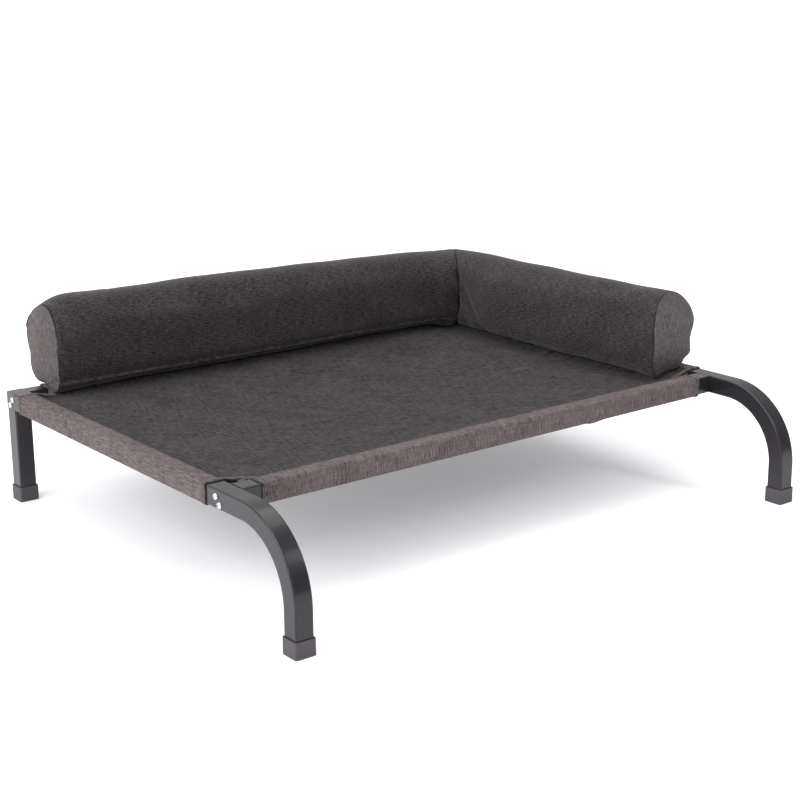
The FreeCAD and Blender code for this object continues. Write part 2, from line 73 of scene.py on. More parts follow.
DECK_LOW, DECK_HIGH = corners("deck_panel")
RAIL_LOW, RAIL_HIGH = corners("front_rail")
LEFT_LOW, LEFT_HIGH = corners("left_end_rail")
BACK_LOW, BACK_HIGH = corners("bolster_back_cover")
SIDE_LOW, SIDE_HIGH = corners("bolster_side_cover")
HOOK_LOW = corners("sling_hook_tapes")[0]
LOOP_HIGH = corners("sling_loop_tapes")[1]

TUBE = RAIL_HIGH[2] - RAIL_LOW[2]           # across a square tube
TUBE_CORNER = 3 * MM                        # its outer corner radius
TOP = RAIL_HIGH[2]                          # top of every tube
CLOTH_RISE = 1.2 * MM                       # from a tube's face to the middle of the cloth on it
SLEEVE_END_X = RAIL_HIGH[0]                 # where the long rails' sleeves end
SLEEVE_END_Y = (LEFT_LOW[1], LEFT_HIGH[1])  # where the end rails' sleeves end
DECK_X = DECK_HIGH[0]                       # inner face of the end rails
DECK_Y = (DECK_LOW[1], DECK_HIGH[1])        # inner faces of the long rails
FLAP_X = LOOP_HIGH[0] - 12 * MM             # where the tapes of the long sides end
BASE_Z = BACK_LOW[2]                        # underside of the bolster
WIDTH_BACK = BACK_HIGH[1] - BACK_LOW[1]
WIDTH_SIDE = SIDE_HIGH[0] - SIDE_LOW[0]
HEIGHT = BACK_HIGH[2] - BACK_LOW[2]
INNER_X, INNER_Y = SIDE_LOW[0], BACK_LOW[1]
WELT_HEIGHT = 16 * MM                       # of the raised seam, above the bolster's underside
LOOSE_FOLDS = ((7, 0.225, 0.022), (5, 0.27, 0.045), (3, 0.33, 0.02))  # mm deep, middle and width in x
SLIP = 4.6 * MM                             # how far the front sleeve's right mouth is drawn along its rail
TAPE_WIDTH, PATCH_LENGTH = 25 * MM, 60 * MM


# ---------------------------------------------------------------- what a user would change
def colour_setting(name, description, hex_colour):
    """Colour property whose default is an sRGB hex colour."""
    return bpy.props.FloatVectorProperty(name=name, description=description, default=linear(hex_colour),
                                         size=4, subtype="COLOR", min=0, max=1)


def length_setting(name, description, default, low, high):
    """Length property. Its default and limits are given in millimetres."""
    return bpy.props.FloatProperty(name=name, description=description, default=default * MM,
                                   min=low * MM, max=high * MM, unit="LENGTH")


def number_setting(name, description, default, low, high, unit="NONE"):
    """Number property, with a unit where one fits."""
    return bpy.props.FloatProperty(name=name, description=description, default=default,
                                   min=low, max=high, unit=unit)


class FrameFinish(bpy.types.PropertyGroup):
    """Colours and surface of the frame and its small parts."""
    coat: colour_setting("Powder coat", "Colour of the coated tubes", "#1e1b1f")
    cap: colour_setting("Foot caps", "Colour of the moulded foot caps", "#3d393e")
    nylon: colour_setting("Nylon", "Colour of the collars and the zip's coil", "#121113")
    peel: length_setting("Orange peel", "Width of one dimple of the powder coat", 1.8, 0.2, 10)


class SlingSizes(bpy.types.PropertyGroup):
    """Shape and colour of the sling."""
    sag: length_setting("Sag", "How far the middle of the deck hangs below the rails", 22, 0, 40)
    step: length_setting("Step", "How far the deck drops beside a rail", 6, 0, 10)
    press: length_setting("Press", "How far the bolster's inner edge presses the deck down", 11, 0, 20)
    cloth: length_setting("Cloth", "Thickness of the cloth", 1.5, 0.5, 2)
    flap: length_setting("Flap", "How far a sleeve's flap reaches in under the deck", 45, 20, 60)
    hem: length_setting("Hem", "Width of the rolled hem at a sleeve's mouth", 8.4, 4, 15)
    # Deck yarns darker and rail yarns lighter: partly the look of cloth drawn taut over a rail, partly
    # painted shade on the deck and painted light on the sleeves.
    dark: colour_setting("Dark yarn", "Darker yarn of the sling's cloth", "#0b0a0c")
    light: colour_setting("Light yarn", "Lighter yarn of the sling's cloth", "#4e494c")
    stretched_lit_dark: colour_setting("Stretched, dark yarn", "Darker yarn where it is drawn over a rail",
                                   "#3c3637")
    stretched_lit_light: colour_setting("Stretched, light yarn", "Lighter yarn where it is drawn over a rail",
                                    "#736a69")


class BolsterSizes(bpy.types.PropertyGroup):
    """Stuffing, seams and colours of the bolster."""
    pressure: number_setting("Pressure", "Pressure of the filling on the cover", 4, 0, 20)
    travel: length_setting("Travel", "How far the filling may push a point of the cover", 6, 0, 20)
    seam: length_setting("Seam depth", "How deep a seam is drawn in", 3.6, 0, 8)
    full: number_setting("Full height", "Height that the back arm's free end is cut to, as a share",
                         1.117, 0.9, 1.2)
    slack: number_setting("Corner slack", "How much lower the corner is cut, as a share", 0.14, 0, 0.3)
    dark: colour_setting("Dark yarn", "Darker yarn of the arms", "#0f0d0f")
    light: colour_setting("Light yarn", "Lighter yarn of the arms", "#4b4547")
    # End panels' yarns, lighter and warmer than the arms': partly their own tone, partly painted sheen of
    # their upright slubs.
    end_tone_and_sheen_dark: colour_setting("End panels, dark yarn", "Darker yarn of the end panels", "#353134")
    end_tone_and_sheen_light: colour_setting("End panels, light yarn", "Lighter yarn of the end panels", "#6c6665")


class StudioLook(bpy.types.PropertyGroup):
    """Floor and light."""
    floor: colour_setting("Floor", "Colour of the pale floor", "#f4f3f6")
    glow: number_setting("Floor glow", "Light that comes through the floor from below", 0.24, 0, 1)
    sky: number_setting("Surroundings", "Brightness of the white surroundings", 0.86, 0, 5)
    key: number_setting("Key light", "Power of the large light at the left", 62, 0, 1000, "POWER")
    top: number_setting("Top light", "Power of the large light overhead", 56, 0, 1000, "POWER")
    strip: number_setting("Strip light", "Power of the narrow light that draws lines along the tubes",
                          9, 0, 1000, "POWER")
    kicker: number_setting("Kicker", "Power of the small light that streaks the front legs' bends",
                           11, 0, 1000, "POWER")


SETTINGS = {"bed_frame": FrameFinish, "bed_sling": SlingSizes,
            "bed_bolster": BolsterSizes, "bed_studio": StudioLook}


# ---------------------------------------------------------------- surfaces as whole arrays
def unit(vectors):
    """Vectors divided by their own lengths."""
    return vectors / np.maximum(np.linalg.norm(vectors, axis=-1, keepdims=True), 1e-12)


def lengths_along(points):
    """Distance from the first point of a path to each of its points: the running sum of its steps."""
    steps = np.linalg.norm(np.diff(points, axis=0), axis=1)
    return np.concatenate([[0], np.cumsum(steps)])


def resampled(path, pitch):
    """The same path with its points one pitch apart, each coordinate read off by arc length."""
    length = lengths_along(path)
    stops = np.linspace(0, length[-1], max(2, int(round(length[-1] / pitch)) + 1))
    return np.stack([np.interp(stops, length, path[:, axis]) for axis in range(path.shape[1])], 1)


def arc(centre, radius, start, end, count=7):
    """Points of a plane arc: centre + radius (cos a, sin a), a in degrees from start to end."""
    angles = np.radians(np.linspace(start, end, count))
    return np.array(centre) + radius * np.stack([np.cos(angles), np.sin(angles)], 1)


def line(start, end, count):
    """Points of a straight run, its last point left out."""
    share = np.linspace(0, 1, count, endpoint=False)[:, None]
    return np.array(start) * (1 - share) + np.array(end) * share


def grid_corners(rows, columns, keep=None):
    """Rows and columns of each face's corners in a grid of faces: (i, j), (i+1, j), (i+1, j+1), (i, j+1)."""
    i, j = np.meshgrid(np.arange(rows), np.arange(columns), indexing="ij")
    i, j = (i.ravel(), j.ravel()) if keep is None else (i[keep], j[keep])
    return np.stack([i, i + 1, i + 1, i], 1), np.stack([j, j, j + 1, j + 1], 1)


def grid_part(points, uvs, closed=False, keep=None, slot=0):
    """One part of a mesh: a grid of points (rows, columns, 3) with a UV (rows, columns, 2) at each.

    A closed grid joins its last column to its first, and its UV array has one column more. keep masks
    the faces.
    """
    rows, columns = points.shape[:2]
    corner_i, corner_j = grid_corners(rows - 1, columns if closed else columns - 1, keep)
    faces = corner_i * columns + corner_j % columns
    corner_uvs = uvs[corner_i, corner_j].reshape(-1, 2)
    return points.reshape(-1, 3), faces.tolist(), corner_uvs, slot


def cap_part(points, slot=0):
    """One flat many-sided face that closes the end of a swept surface; its UV runs in its own plane."""
    centre = points.mean(0)
    u = unit(points[0] - centre)
    normal = unit(np.cross(points[0] - centre, points[len(points) // 3] - centre))
    v = np.cross(normal, u)
    uvs = np.stack([(points - centre) @ u, (points - centre) @ v], 1)
    return points, [list(range(len(points)))], uvs, slot


def sweep(path, ups, section, caps=True, slot=0):
    """Closed surface that carries a section along a path.

    A point is path + side * section x + up * section y, where up is the given direction made square
    to the path and side is up x tangent. U is the length along the path, V the length round the section.
    """
    tangents = unit(np.gradient(path, axis=0))
    ups = np.broadcast_to(ups, path.shape)
    ups = unit(ups - (ups * tangents).sum(1, keepdims=True) * tangents)
    sides = np.cross(ups, tangents)
    section = np.broadcast_to(section, (len(path), *np.shape(section)[-2:]))
    points = path[:, None] + sides[:, None] * section[..., :1] + ups[:, None] * section[..., 1:]
    around = lengths_along(np.vstack([section[0], section[0][:1]]))
    along = lengths_along(path)
    uvs = np.stack(np.meshgrid(along, around, indexing="ij"), -1)
    parts = [grid_part(points, uvs, closed=True, slot=slot)]
    if caps:
        parts += [cap_part(points[0], slot), cap_part(points[-1][::-1], slot)]
    return parts


def stadium(width, thickness, count=5):
    """Section of a flat band with round edges: two half circles joined by straight lines."""
    radius = thickness / 2
    reach = width / 2 - radius
    return np.vstack([arc((reach, 0), radius, -90, 90, count), arc((-reach, 0), radius, 90, 270, count)])


def ellipse(width, height, count):
    """Section of a round cord: (width/2 cos a, height/2 sin a)."""
    angles = np.linspace(0, 2 * np.pi, count, endpoint=False)
    return np.stack([width / 2 * np.cos(angles), height / 2 * np.sin(angles)], 1)


def spread(local_points, local_faces, centres, tangents, ups, slot=0):
    """Many copies of one small shape: centre + tangent x + side y + up z for each of its points."""
    tangents = unit(tangents)
    ups = unit(ups - (ups * tangents).sum(1, keepdims=True) * tangents)
    sides = np.cross(ups, tangents)
    axes = np.stack([tangents, sides, ups], 1)
    points = centres[:, None] + np.einsum("pk,nkc->npc", local_points, axes)
    offsets = np.arange(len(centres))[:, None, None] * len(local_points)
    faces = (local_faces[None] + offsets).reshape(-1, local_faces.shape[1])
    uvs = np.tile(local_points[local_faces.ravel()][:, :2], (len(centres), 1))
    return points.reshape(-1, 3), faces.tolist(), uvs, slot


def capsule(length, width, height, around=6, along=5):
    """Small rounded grain: half-width w(t) = sqrt(1 - t^2) along its length, closed at both tips."""
    t = np.linspace(-1, 1, along + 2)[1:-1]
    angles = np.linspace(0, 2 * np.pi, around, endpoint=False)
    swell = np.sqrt(1 - t ** 2)[:, None]
    rings = np.stack([np.broadcast_to(t[:, None] * length / 2, (along, around)),
                      swell * np.cos(angles) * width / 2, swell * np.sin(angles) * height / 2], -1)
    points = np.vstack([rings.reshape(-1, 3), [[-length / 2, 0, 0], [length / 2, 0, 0]]])
    i, j = [index.ravel() for index in np.meshgrid(np.arange(along - 1), np.arange(around), indexing="ij")]
    after = (j + 1) % around
    quads = np.stack([i * around + j, i * around + after, (i + 1) * around + after, (i + 1) * around + j], 1)
    ring = np.arange(around)
    following = (ring + 1) % around
    first, last = len(points) - 2, len(points) - 1
    start_tip = np.stack([ring, np.full(around, first), np.full(around, first), following], 1)
    end_ring = (along - 1) * around
    end_tip = np.stack([end_ring + following, np.full(around, last), np.full(around, last),
                        end_ring + ring], 1)
    return points, quads, start_tip[:, [0, 1, 3]], end_tip[:, [0, 1, 3]]


def stitches(path, ups, pitch=4 * MM, size=(2.9 * MM, 0.75 * MM, 0.6 * MM)):
    """A row of lock stitches along a path: one capsule to a pitch, half sunk in the cloth."""
    stops = resampled(np.hstack([path, np.broadcast_to(ups, path.shape)]), pitch)
    middle = (stops[1:] + stops[:-1]) / 2
    tangents = stops[1:, :3] - stops[:-1, :3]
    points, quads, start_tip, end_tip = capsule(*size)
    centres, lifts = middle[:, :3], middle[:, 3:]
    return [spread(points, faces, centres, tangents, lifts) for faces in (quads, start_tip, end_tip)]


def mesh_points(mesh):
    """All vertices of a mesh as an array."""
    points = np.empty(len(mesh.vertices) * 3)
    mesh.vertices.foreach_get("co", points)
    return points.reshape(-1, 3)


def mesh_normals(mesh):
    """All vertex normals of a mesh as an array."""
    normals = np.empty(len(mesh.vertices) * 3, np.float32)
    mesh.vertex_normals.foreach_get("vector", normals)
    return normals.reshape(-1, 3).astype(float)


def signed_volume(mesh):
    """Volume inside a closed mesh, below nought if its faces point inwards: sum of a . (b x c) / 6."""
    mesh.calc_loop_triangles()
    triangles = np.empty(len(mesh.loop_triangles) * 3, int)
    mesh.loop_triangles.foreach_get("vertices", triangles)
    a, b, c = mesh_points(mesh)[triangles.reshape(-1, 3)].transpose(1, 0, 2)
    return float((a * np.cross(b, c)).sum() / 6)


def build(name, parts, *materials):
    """One mesh object from parts of (points, faces, corner UVs, material slot), faces outwards."""
    points = np.vstack([part[0] for part in parts])
    starts = np.cumsum([0] + [len(part[0]) for part in parts])
    faces = []
    for start, part in zip(starts, parts):
        faces += [[start + corner for corner in face] for face in part[1]]
    mesh = bpy.data.meshes.new(name)
    mesh.from_pydata(points.tolist(), [], faces)
    layer = mesh.uv_layers.new(name="cloth")
    layer.data.foreach_set("uv", np.vstack([part[2] for part in parts]).astype(np.float32).ravel())
    slots = np.concatenate([np.full(len(part[1]), part[3]) for part in parts]).astype(np.int32)
    mesh.polygons.foreach_set("material_index", slots)
    mesh.polygons.foreach_set("use_smooth", np.full(len(slots), True))
    for finish in materials:
        mesh.materials.append(finish)
    if signed_volume(mesh) < 0:
        mesh.flip_normals()
    mesh.update()
    made = bpy.data.objects.new(name, mesh)
    bpy.context.scene.collection.objects.link(made)
    return made


# ---------------------------------------------------------------- materials
def node(tree, kind, inputs=None, **settings):
    """Adds one node. settings are its own fields; inputs are values, or the sockets that feed it."""
    made = tree.nodes.new("ShaderNode" + kind)
    for field, value in settings.items():
        setattr(made, field, value)
    for socket, value in (inputs or {}).items():
        if isinstance(value, bpy.types.NodeSocket):
            tree.links.new(value, made.inputs[socket])
        else:
            made.inputs[socket].default_value = value
    return made


def principled(name, surface):
    """New material and its shader, with these values on the shader's own sockets."""
    made = bpy.data.materials.new(name)
    made.use_nodes = True
    tree = made.node_tree
    shader = tree.nodes["Principled BSDF"]
    for socket, value in surface.items():
        shader.inputs[socket].default_value = value
    return made, tree, shader


def dimpled(tree, shader, size, height, roughness, detail=2.0):
    """Moulded or sprayed surface: noise of this dimple size gives the bump and varies the roughness."""
    place = node(tree, "TexCoord").outputs["Object"]
    dimples = node(tree, "TexNoise", {"Vector": place, "Scale": 1 / size, "Detail": detail})
    cloud = node(tree, "TexNoise", {"Vector": place, "Scale": 12.0, "Detail": 3.0})
    both = node(tree, "Math", {0: dimples.outputs["Fac"], 1: cloud.outputs["Fac"]}, operation="ADD")
    spread_roughness = node(tree, "MapRange", {"Value": both.outputs[0], "From Min": 0.6, "From Max": 1.4,
                                               "To Min": roughness[0], "To Max": roughness[1]})
    bump = node(tree, "Bump", {"Height": dimples.outputs["Fac"], "Distance": height, "Strength": 1.0})
    tree.links.new(spread_roughness.outputs["Result"], shader.inputs["Roughness"])
    tree.links.new(bump.outputs["Normal"], shader.inputs["Normal"])
    return cloud


def tinted(tree, shader, cloud, colour, change):
    """Base colour that wanders by a small share round its own value, slowly over the surface."""
    darker = [channel * (1 - change) for channel in colour[:3]] + [1.0]
    lighter = [channel * (1 + change) for channel in colour[:3]] + [1.0]
    mix = node(tree, "Mix", {"Factor": cloud.outputs["Fac"], 6: darker, 7: lighter}, data_type="RGBA")
    tree.links.new(mix.outputs[2], shader.inputs["Base Color"])


def powder_coated_steel(look):
    """Steel tube sprayed with satin black polyester powder and baked.

    The eye sees a soft broad gloss, faint orange peel, and white surroundings at grazing angles.
    """
    surface = {"IOR": 1.55, "Specular IOR Level": 0.26, "Coat Weight": 0.2, "Coat Roughness": 0.08}
    made, tree, shader = principled("Powder-coated steel", surface)
    cloud = dimpled(tree, shader, look.peel, 0.02 * MM, (0.20, 0.28))
    tinted(tree, shader, cloud, look.coat, 0.12)
    return made


def moulded_cap(look):
    """Foot cap, polypropylene moulded in a spark-eroded tool: matt, with a fine even grain."""
    made, tree, shader = principled("Moulded polypropylene", {"IOR": 1.49})
    cloud = dimpled(tree, shader, 0.9 * MM, 0.09 * MM, (0.50, 0.66), 1.0)
    tinted(tree, shader, cloud, look.cap, 0.06)
    return made


def moulded_nylon(look):
    """Collar, nylon moulded smooth: darker and a little glossier than the caps."""
    made, tree, shader = principled("Moulded nylon", {"IOR": 1.53})
    cloud = dimpled(tree, shader, 1.2 * MM, 0.03 * MM, (0.36, 0.48), 1.0)
    tinted(tree, shader, cloud, look.nylon, 0.08)
    return made


def plated(name, colour, roughness, scratch):
    """Electroplated steel: bright metal whose fine pits, this far apart, break up the reflection."""
    made, tree, shader = principled(name, {"Metallic": 1.0})
    cloud = dimpled(tree, shader, scratch, 0.02 * MM, roughness, 4.0)
    tinted(tree, shader, cloud, linear(colour), 0.10)
    return made


def woven(name, dark, light, slub=(15 * MM, 1.2 * MM), sheen=0.03, across=0.5, stretched_and_lit=None):
    """Plain weave of melange yarn, read from the UV map, which is in metres.

    Long slubs of lighter yarn run along U, drawn at their real length, and shorter ones cross them.
    The yarns themselves are about 0.6 mm apart, too fine to show, so the over-and-under of the weave
    is drawn coarser: sin(u) sin(v), 1.5 mm apart. The cloth is matt with a soft sheen at grazing
    angles. Where the cloth wraps a rail, marked 1 in a mesh attribute, the two lighter colours take
    over, partly for cloth drawn taut and partly as painted light. Where its seam attribute is 1, the
    colour goes dark, partly for the thread and partly as painted shade in the seam's groove.
    """
    surface = {"IOR": 1.46, "Specular IOR Level": 0.1, "Sheen Weight": sheen, "Sheen Roughness": 0.45}
    made, tree, shader = principled(name, surface)
    flat = node(tree, "TexCoord").outputs["UV"]
    patterns = []
    for scale, detail in (((1 / slub[0], 1 / slub[1], 1.0), 2.0),
                          ((1.6 / slub[0], 2.2 / slub[1], 1.0), 1.0),
                          ((0.8 / slub[1], 0.7 / slub[0], 1.0), 2.0),
                          ((9.0, 14.0, 1.0), 4.0)):
        place = node(tree, "Mapping", {"Vector": flat, "Scale": scale}).outputs[0]
        noise = node(tree, "TexNoise", {"Vector": place, "Scale": 1.0, "Detail": detail, "Roughness": 0.6})
        patterns.append(noise.outputs["Fac"])
    slubs, threads, crossing, clouds = patterns
    parts = node(tree, "SeparateXYZ", {"Vector": flat})
    waves = []
    for axis in ("X", "Y"):
        angle = node(tree, "Math", {0: parts.outputs[axis], 1: 2 * np.pi / (1.5 * MM)}, operation="MULTIPLY")
        waves.append(node(tree, "Math", {0: angle.outputs[0]}, operation="SINE").outputs[0])
    weave = node(tree, "Math", {0: waves[0], 1: waves[1]}, operation="MULTIPLY").outputs[0]
    melange = node(tree, "Math", {0: slubs, 1: threads}, operation="ADD").outputs[0]
    for pattern, weight in ((crossing, across), (clouds, 0.30), (weave, 0.09)):
        melange = node(tree, "Math", {0: pattern, 1: weight, 2: melange}, operation="MULTIPLY_ADD").outputs[0]
    middle = 1.0 + (across + 0.30) / 2
    share = node(tree, "MapRange", {"Value": melange, "From Min": middle - 0.24, "From Max": middle + 0.28})
    share = share.outputs["Result"]
    colour = node(tree, "Mix", {"Factor": share, 6: list(dark), 7: list(light)}, data_type="RGBA").outputs[2]
    # Where the cloth wraps a rail the lighter yarns take over: partly cloth drawn taut, partly painted light
    # on the sleeves beside a deck left in painted shade.
    if stretched_and_lit:
        drawn = node(tree, "Mix", {"Factor": share, 6: list(stretched_and_lit[0]), 7: list(stretched_and_lit[1])},
                     data_type="RGBA").outputs[2]
        pull = node(tree, "Attribute", attribute_name="stretch").outputs["Fac"]
        colour = node(tree, "Mix", {"Factor": pull, 6: colour, 7: drawn}, data_type="RGBA").outputs[2]
    # Dark seam lines: the colour goes towards a dark thread colour, partly for the thread and partly as
    # painted shade in the seams' grooves.
    seam_thread_and_shade = node(tree, "Attribute", attribute_name="seam").outputs["Fac"]
    thread = [channel * 0.4 for channel in dark[:3]] + [1.0]
    colour = node(tree, "Mix", {"Factor": seam_thread_and_shade, 6: colour, 7: thread}, data_type="RGBA").outputs[2]
    height = node(tree, "Math", {0: weave, 1: 0.16, 2: melange}, operation="MULTIPLY_ADD").outputs[0]
    bump = node(tree, "Bump", {"Height": height, "Distance": 0.3 * MM, "Strength": 1.0})
    matt = node(tree, "MapRange", {"Value": share, "To Min": 0.92, "To Max": 0.78})
    tree.links.new(colour, shader.inputs["Base Color"])
    tree.links.new(matt.outputs["Result"], shader.inputs["Roughness"])
    tree.links.new(bump.outputs["Normal"], shader.inputs["Normal"])
    return made


def ribbed(name, colour, rib, relief, roughness, sheen):
    """Narrow woven tape read from its UV map: ribs across U at this pitch, two hues of one yarn."""
    surface = {"IOR": 1.5, "Sheen Weight": sheen, "Specular IOR Level": 0.35, "Roughness": roughness}
    made, tree, shader = principled(name, surface)
    flat = node(tree, "TexCoord").outputs["UV"]
    parts = node(tree, "SeparateXYZ", {"Vector": flat})
    along = node(tree, "Math", {0: parts.outputs["X"], 1: 2 * np.pi / rib}, operation="MULTIPLY")
    sideways = node(tree, "Math", {0: parts.outputs["Y"], 1: np.pi / rib, 2: along.outputs[0]},
                    operation="MULTIPLY_ADD")
    ribs = node(tree, "Math", {0: sideways.outputs[0]}, operation="SINE")
    fuzz = node(tree, "TexNoise", {"Vector": flat, "Scale": 1 / (2 * rib), "Detail": 3.0})
    height = node(tree, "Math", {0: ribs.outputs[0], 1: 0.35, 2: fuzz.outputs["Fac"]},
                  operation="MULTIPLY_ADD")
    share = node(tree, "MapRange", {"Value": height.outputs[0], "From Min": 0.1, "From Max": 0.9})
    shade = linear(colour)
    pale = [min(1.0, channel * 2.2 + 0.004) for channel in shade[:3]] + [1.0]
    mix = node(tree, "Mix", {"Factor": share.outputs["Result"], 6: list(shade), 7: pale}, data_type="RGBA")
    bump = node(tree, "Bump", {"Height": height.outputs[0], "Distance": relief, "Strength": 1.0})
    tree.links.new(mix.outputs[2], shader.inputs["Base Color"])
    tree.links.new(bump.outputs["Normal"], shader.inputs["Normal"])
    return made


def spun_thread(name, colour):
    """Bonded polyester sewing thread: smooth, slightly shiny, twisted too finely to see."""
    made, tree, shader = principled(name, {"IOR": 1.5, "Sheen Weight": 0.2})
    cloud = dimpled(tree, shader, 0.8 * MM, 0.05 * MM, (0.45, 0.6), 1.0)
    tinted(tree, shader, cloud, linear(colour), 0.15)
    return made


def dress(names, finish):
    """Gives CAD nodes this one finish."""
    for name in names:
        NODES[name].data.materials.clear()
        NODES[name].data.materials.append(finish)


# ---------------------------------------------------------------- the sling's shape
def sag_at(x, y):
    """How far the deck lies below the rails at a point.

    The middle hangs like a taut membrane, sag (1 - X^2)(1 - Y^2) with X and Y from -1 to 1
    between the rails. A short step 1 - e^(-d / 6 mm) lowers it beside each rail, and the bolster's
    inner edges press it down by e^(-(d / 34 mm)^2) at a distance d from their lines.
    """
    sizes = bpy.context.scene.bed_sling
    half_x = DECK_X + TUBE_CORNER
    half_y = (DECK_Y[1] - DECK_Y[0]) / 2 + TUBE_CORNER
    from_x = np.maximum(half_x - np.abs(x), 0)
    from_y = np.maximum(half_y - np.abs(y - sum(DECK_Y) / 2), 0)
    membrane = (1 - (1 - from_x / half_x) ** 2) * (1 - (1 - from_y / half_y) ** 2)
    fade = 6 * MM
    beside = (1 - np.exp(-from_x / fade)) * (1 - np.exp(-from_y / fade))
    side_arm = np.exp(-((x - INNER_X) / (34 * MM)) ** 2)
    back_arm = 0.35 * np.exp(-((y - INNER_Y) / (34 * MM)) ** 2)
    pressed = sizes.press * np.maximum(side_arm, back_arm)
    return sizes.sag * membrane + (sizes.step + pressed) * beside


def wrap_path(flap):
    """The cloth's way round a rail, as outward distance and height from the rail's inner top edge.

    It leaves the deck, goes over the rail, down, under and up inside, then turns in under the deck
    to the flap's edge. Returns points and the outward normals of the cloth there.
    """
    ring = TUBE_CORNER + CLOTH_RISE
    near, far = TUBE_CORNER, TUBE - TUBE_CORNER
    under = TUBE + CLOTH_RISE
    tuck = 2 * MM
    flap_height = HOOK_LOW[2] - 0.8 * MM - TOP
    path = np.vstack([
        line((near, CLOTH_RISE), (far, CLOTH_RISE), 5),
        arc((far, -near), ring, 90, 0)[:-1],
        line((far + ring, -near), (far + ring, -far), 6),
        arc((far, -far), ring, 0, -90)[:-1],
        line((far, -under), (near, -under), 5),
        arc((near, -far), ring, 270, 180)[:-1],
        line((-CLOTH_RISE, -far), (-CLOTH_RISE, flap_height - tuck), 4),
        arc((-CLOTH_RISE - tuck, flap_height - tuck), tuck, 0, 90, 4)[:-1],
        line((-CLOTH_RISE - tuck, flap_height), (-flap, flap_height), 6),
        [(-flap, flap_height)],
    ])
    tangents = unit(np.gradient(path, axis=0))
    return path, np.stack([-tangents[:, 1], tangents[:, 0]], 1)


def deck_stops(low, high, marks):
    """Grid lines across the deck: about 10 mm apart, closer beside the rails, and one at each mark."""
    beside = np.array([0, 1.5, 3.5, 7, 12, 19]) * MM - TUBE_CORNER
    even = np.linspace(low + 0.025, high - 0.025, int((high - low) / 0.010))
    marks = np.array(marks)
    even = even[np.abs(even[:, None] - marks).min(1) > 2.5 * MM]
    beside = np.concatenate([low + beside, high - beside])
    beside = beside[np.abs(beside[:, None] - marks).min(1) > 1.5 * MM]
    return np.sort(np.concatenate([even, marks, beside]))


def sling_axis(low, high, marks, flap):
    """One axis of the sling's grid: place, height over the deck, and length along the flat cloth."""
    stops = deck_stops(low, high, marks)
    path, _ = wrap_path(flap)
    outward = lengths_along(path)[1:]
    place = np.concatenate([low - path[:0:-1, 0], stops, high + path[1:, 0]])
    height = np.concatenate([path[:0:-1, 1], np.full(len(stops), CLOTH_RISE), path[1:, 1]])
    flat = np.concatenate([stops[0] - outward[::-1], stops, stops[-1] + outward])
    inner = len(path) - 1
    wrapped = np.ones(len(place), bool)
    wrapped[inner:inner + len(stops)] = False
    return place, height - CLOTH_RISE, flat, wrapped


def sling_surface():
    """The whole cloth as one cross-shaped grid: z = top of the rails + wrap height - sag.

    Three loose folds hang under the front rail, each a hill in x, and the front sleeve's right mouth
    is drawn a little further along its rail. Returns points, UVs, the faces kept, the flat places of
    the grid lines, and whether the cloth is drawn over a rail there.
    """
    sizes = bpy.context.scene.bed_sling
    marks = [-SLEEVE_END_X, -FLAP_X, FLAP_X, SLEEVE_END_X]
    x, height_x, flat_x, round_x = sling_axis(-DECK_X, DECK_X, marks, sizes.flap)
    y, height_y, flat_y, round_y = sling_axis(*DECK_Y, list(SLEEVE_END_Y), sizes.flap)
    grid_x, grid_y = np.meshgrid(x, y, indexing="ij")
    drop = sag_at(np.clip(grid_x, -DECK_X - TUBE, DECK_X + TUBE), grid_y)
    ripple = 0.35 * MM * np.abs(np.sin(grid_x * 61) * np.sin(grid_y * 47 + 1)
                                + 0.6 * np.sin(grid_x * 133 + grid_y * 29))
    grid_z = TOP + CLOTH_RISE + height_x[:, None] + height_y[None] - drop - ripple * (drop > 0)
    slack = sum(depth * MM * hill(grid_x, middle, width) for depth, middle, width in LOOSE_FOLDS)
    below = (height_y[None] < -TUBE) & (grid_y < DECK_Y[0] + TUBE / 2) & (grid_y > DECK_Y[0] - TUBE)
    grid_z -= slack * below * np.clip((grid_y - DECK_Y[0] + 0.9 * TUBE) / (0.4 * TUBE), 0, 1)
    slip = SLIP * np.clip((grid_x - (SLEEVE_END_X - 0.03)) / 0.03, 0, 1)
    on_sleeve = round_y[None] & ~round_x[:, None] & (grid_y < 0) & (grid_x <= SLEEVE_END_X + MM)
    grid_x = grid_x + slip * on_sleeve
    points = np.stack([grid_x, grid_y, grid_z], -1)
    uvs = np.stack(np.meshgrid(flat_x, flat_y, indexing="ij")[::-1], -1)
    middle_x = (flat_x[1:] + flat_x[:-1])[:, None] / 2
    middle_y = (flat_y[1:] + flat_y[:-1])[None] / 2
    past_x = np.abs(middle_x) > SLEEVE_END_X
    past_y = (middle_y < SLEEVE_END_Y[0]) | (middle_y > SLEEVE_END_Y[1])
    flap_start = lengths_along(wrap_path(sizes.flap)[0])[-8] + DECK_Y[1] - TUBE_CORNER
    in_flap = np.abs(middle_y - sum(DECK_Y) / 2) > flap_start - sum(DECK_Y) / 2
    short = in_flap & (np.abs(middle_x) > FLAP_X)
    return points, uvs, ~(past_x & past_y) & ~short, (flat_x, flat_y), round_x[:, None] | round_y[None]


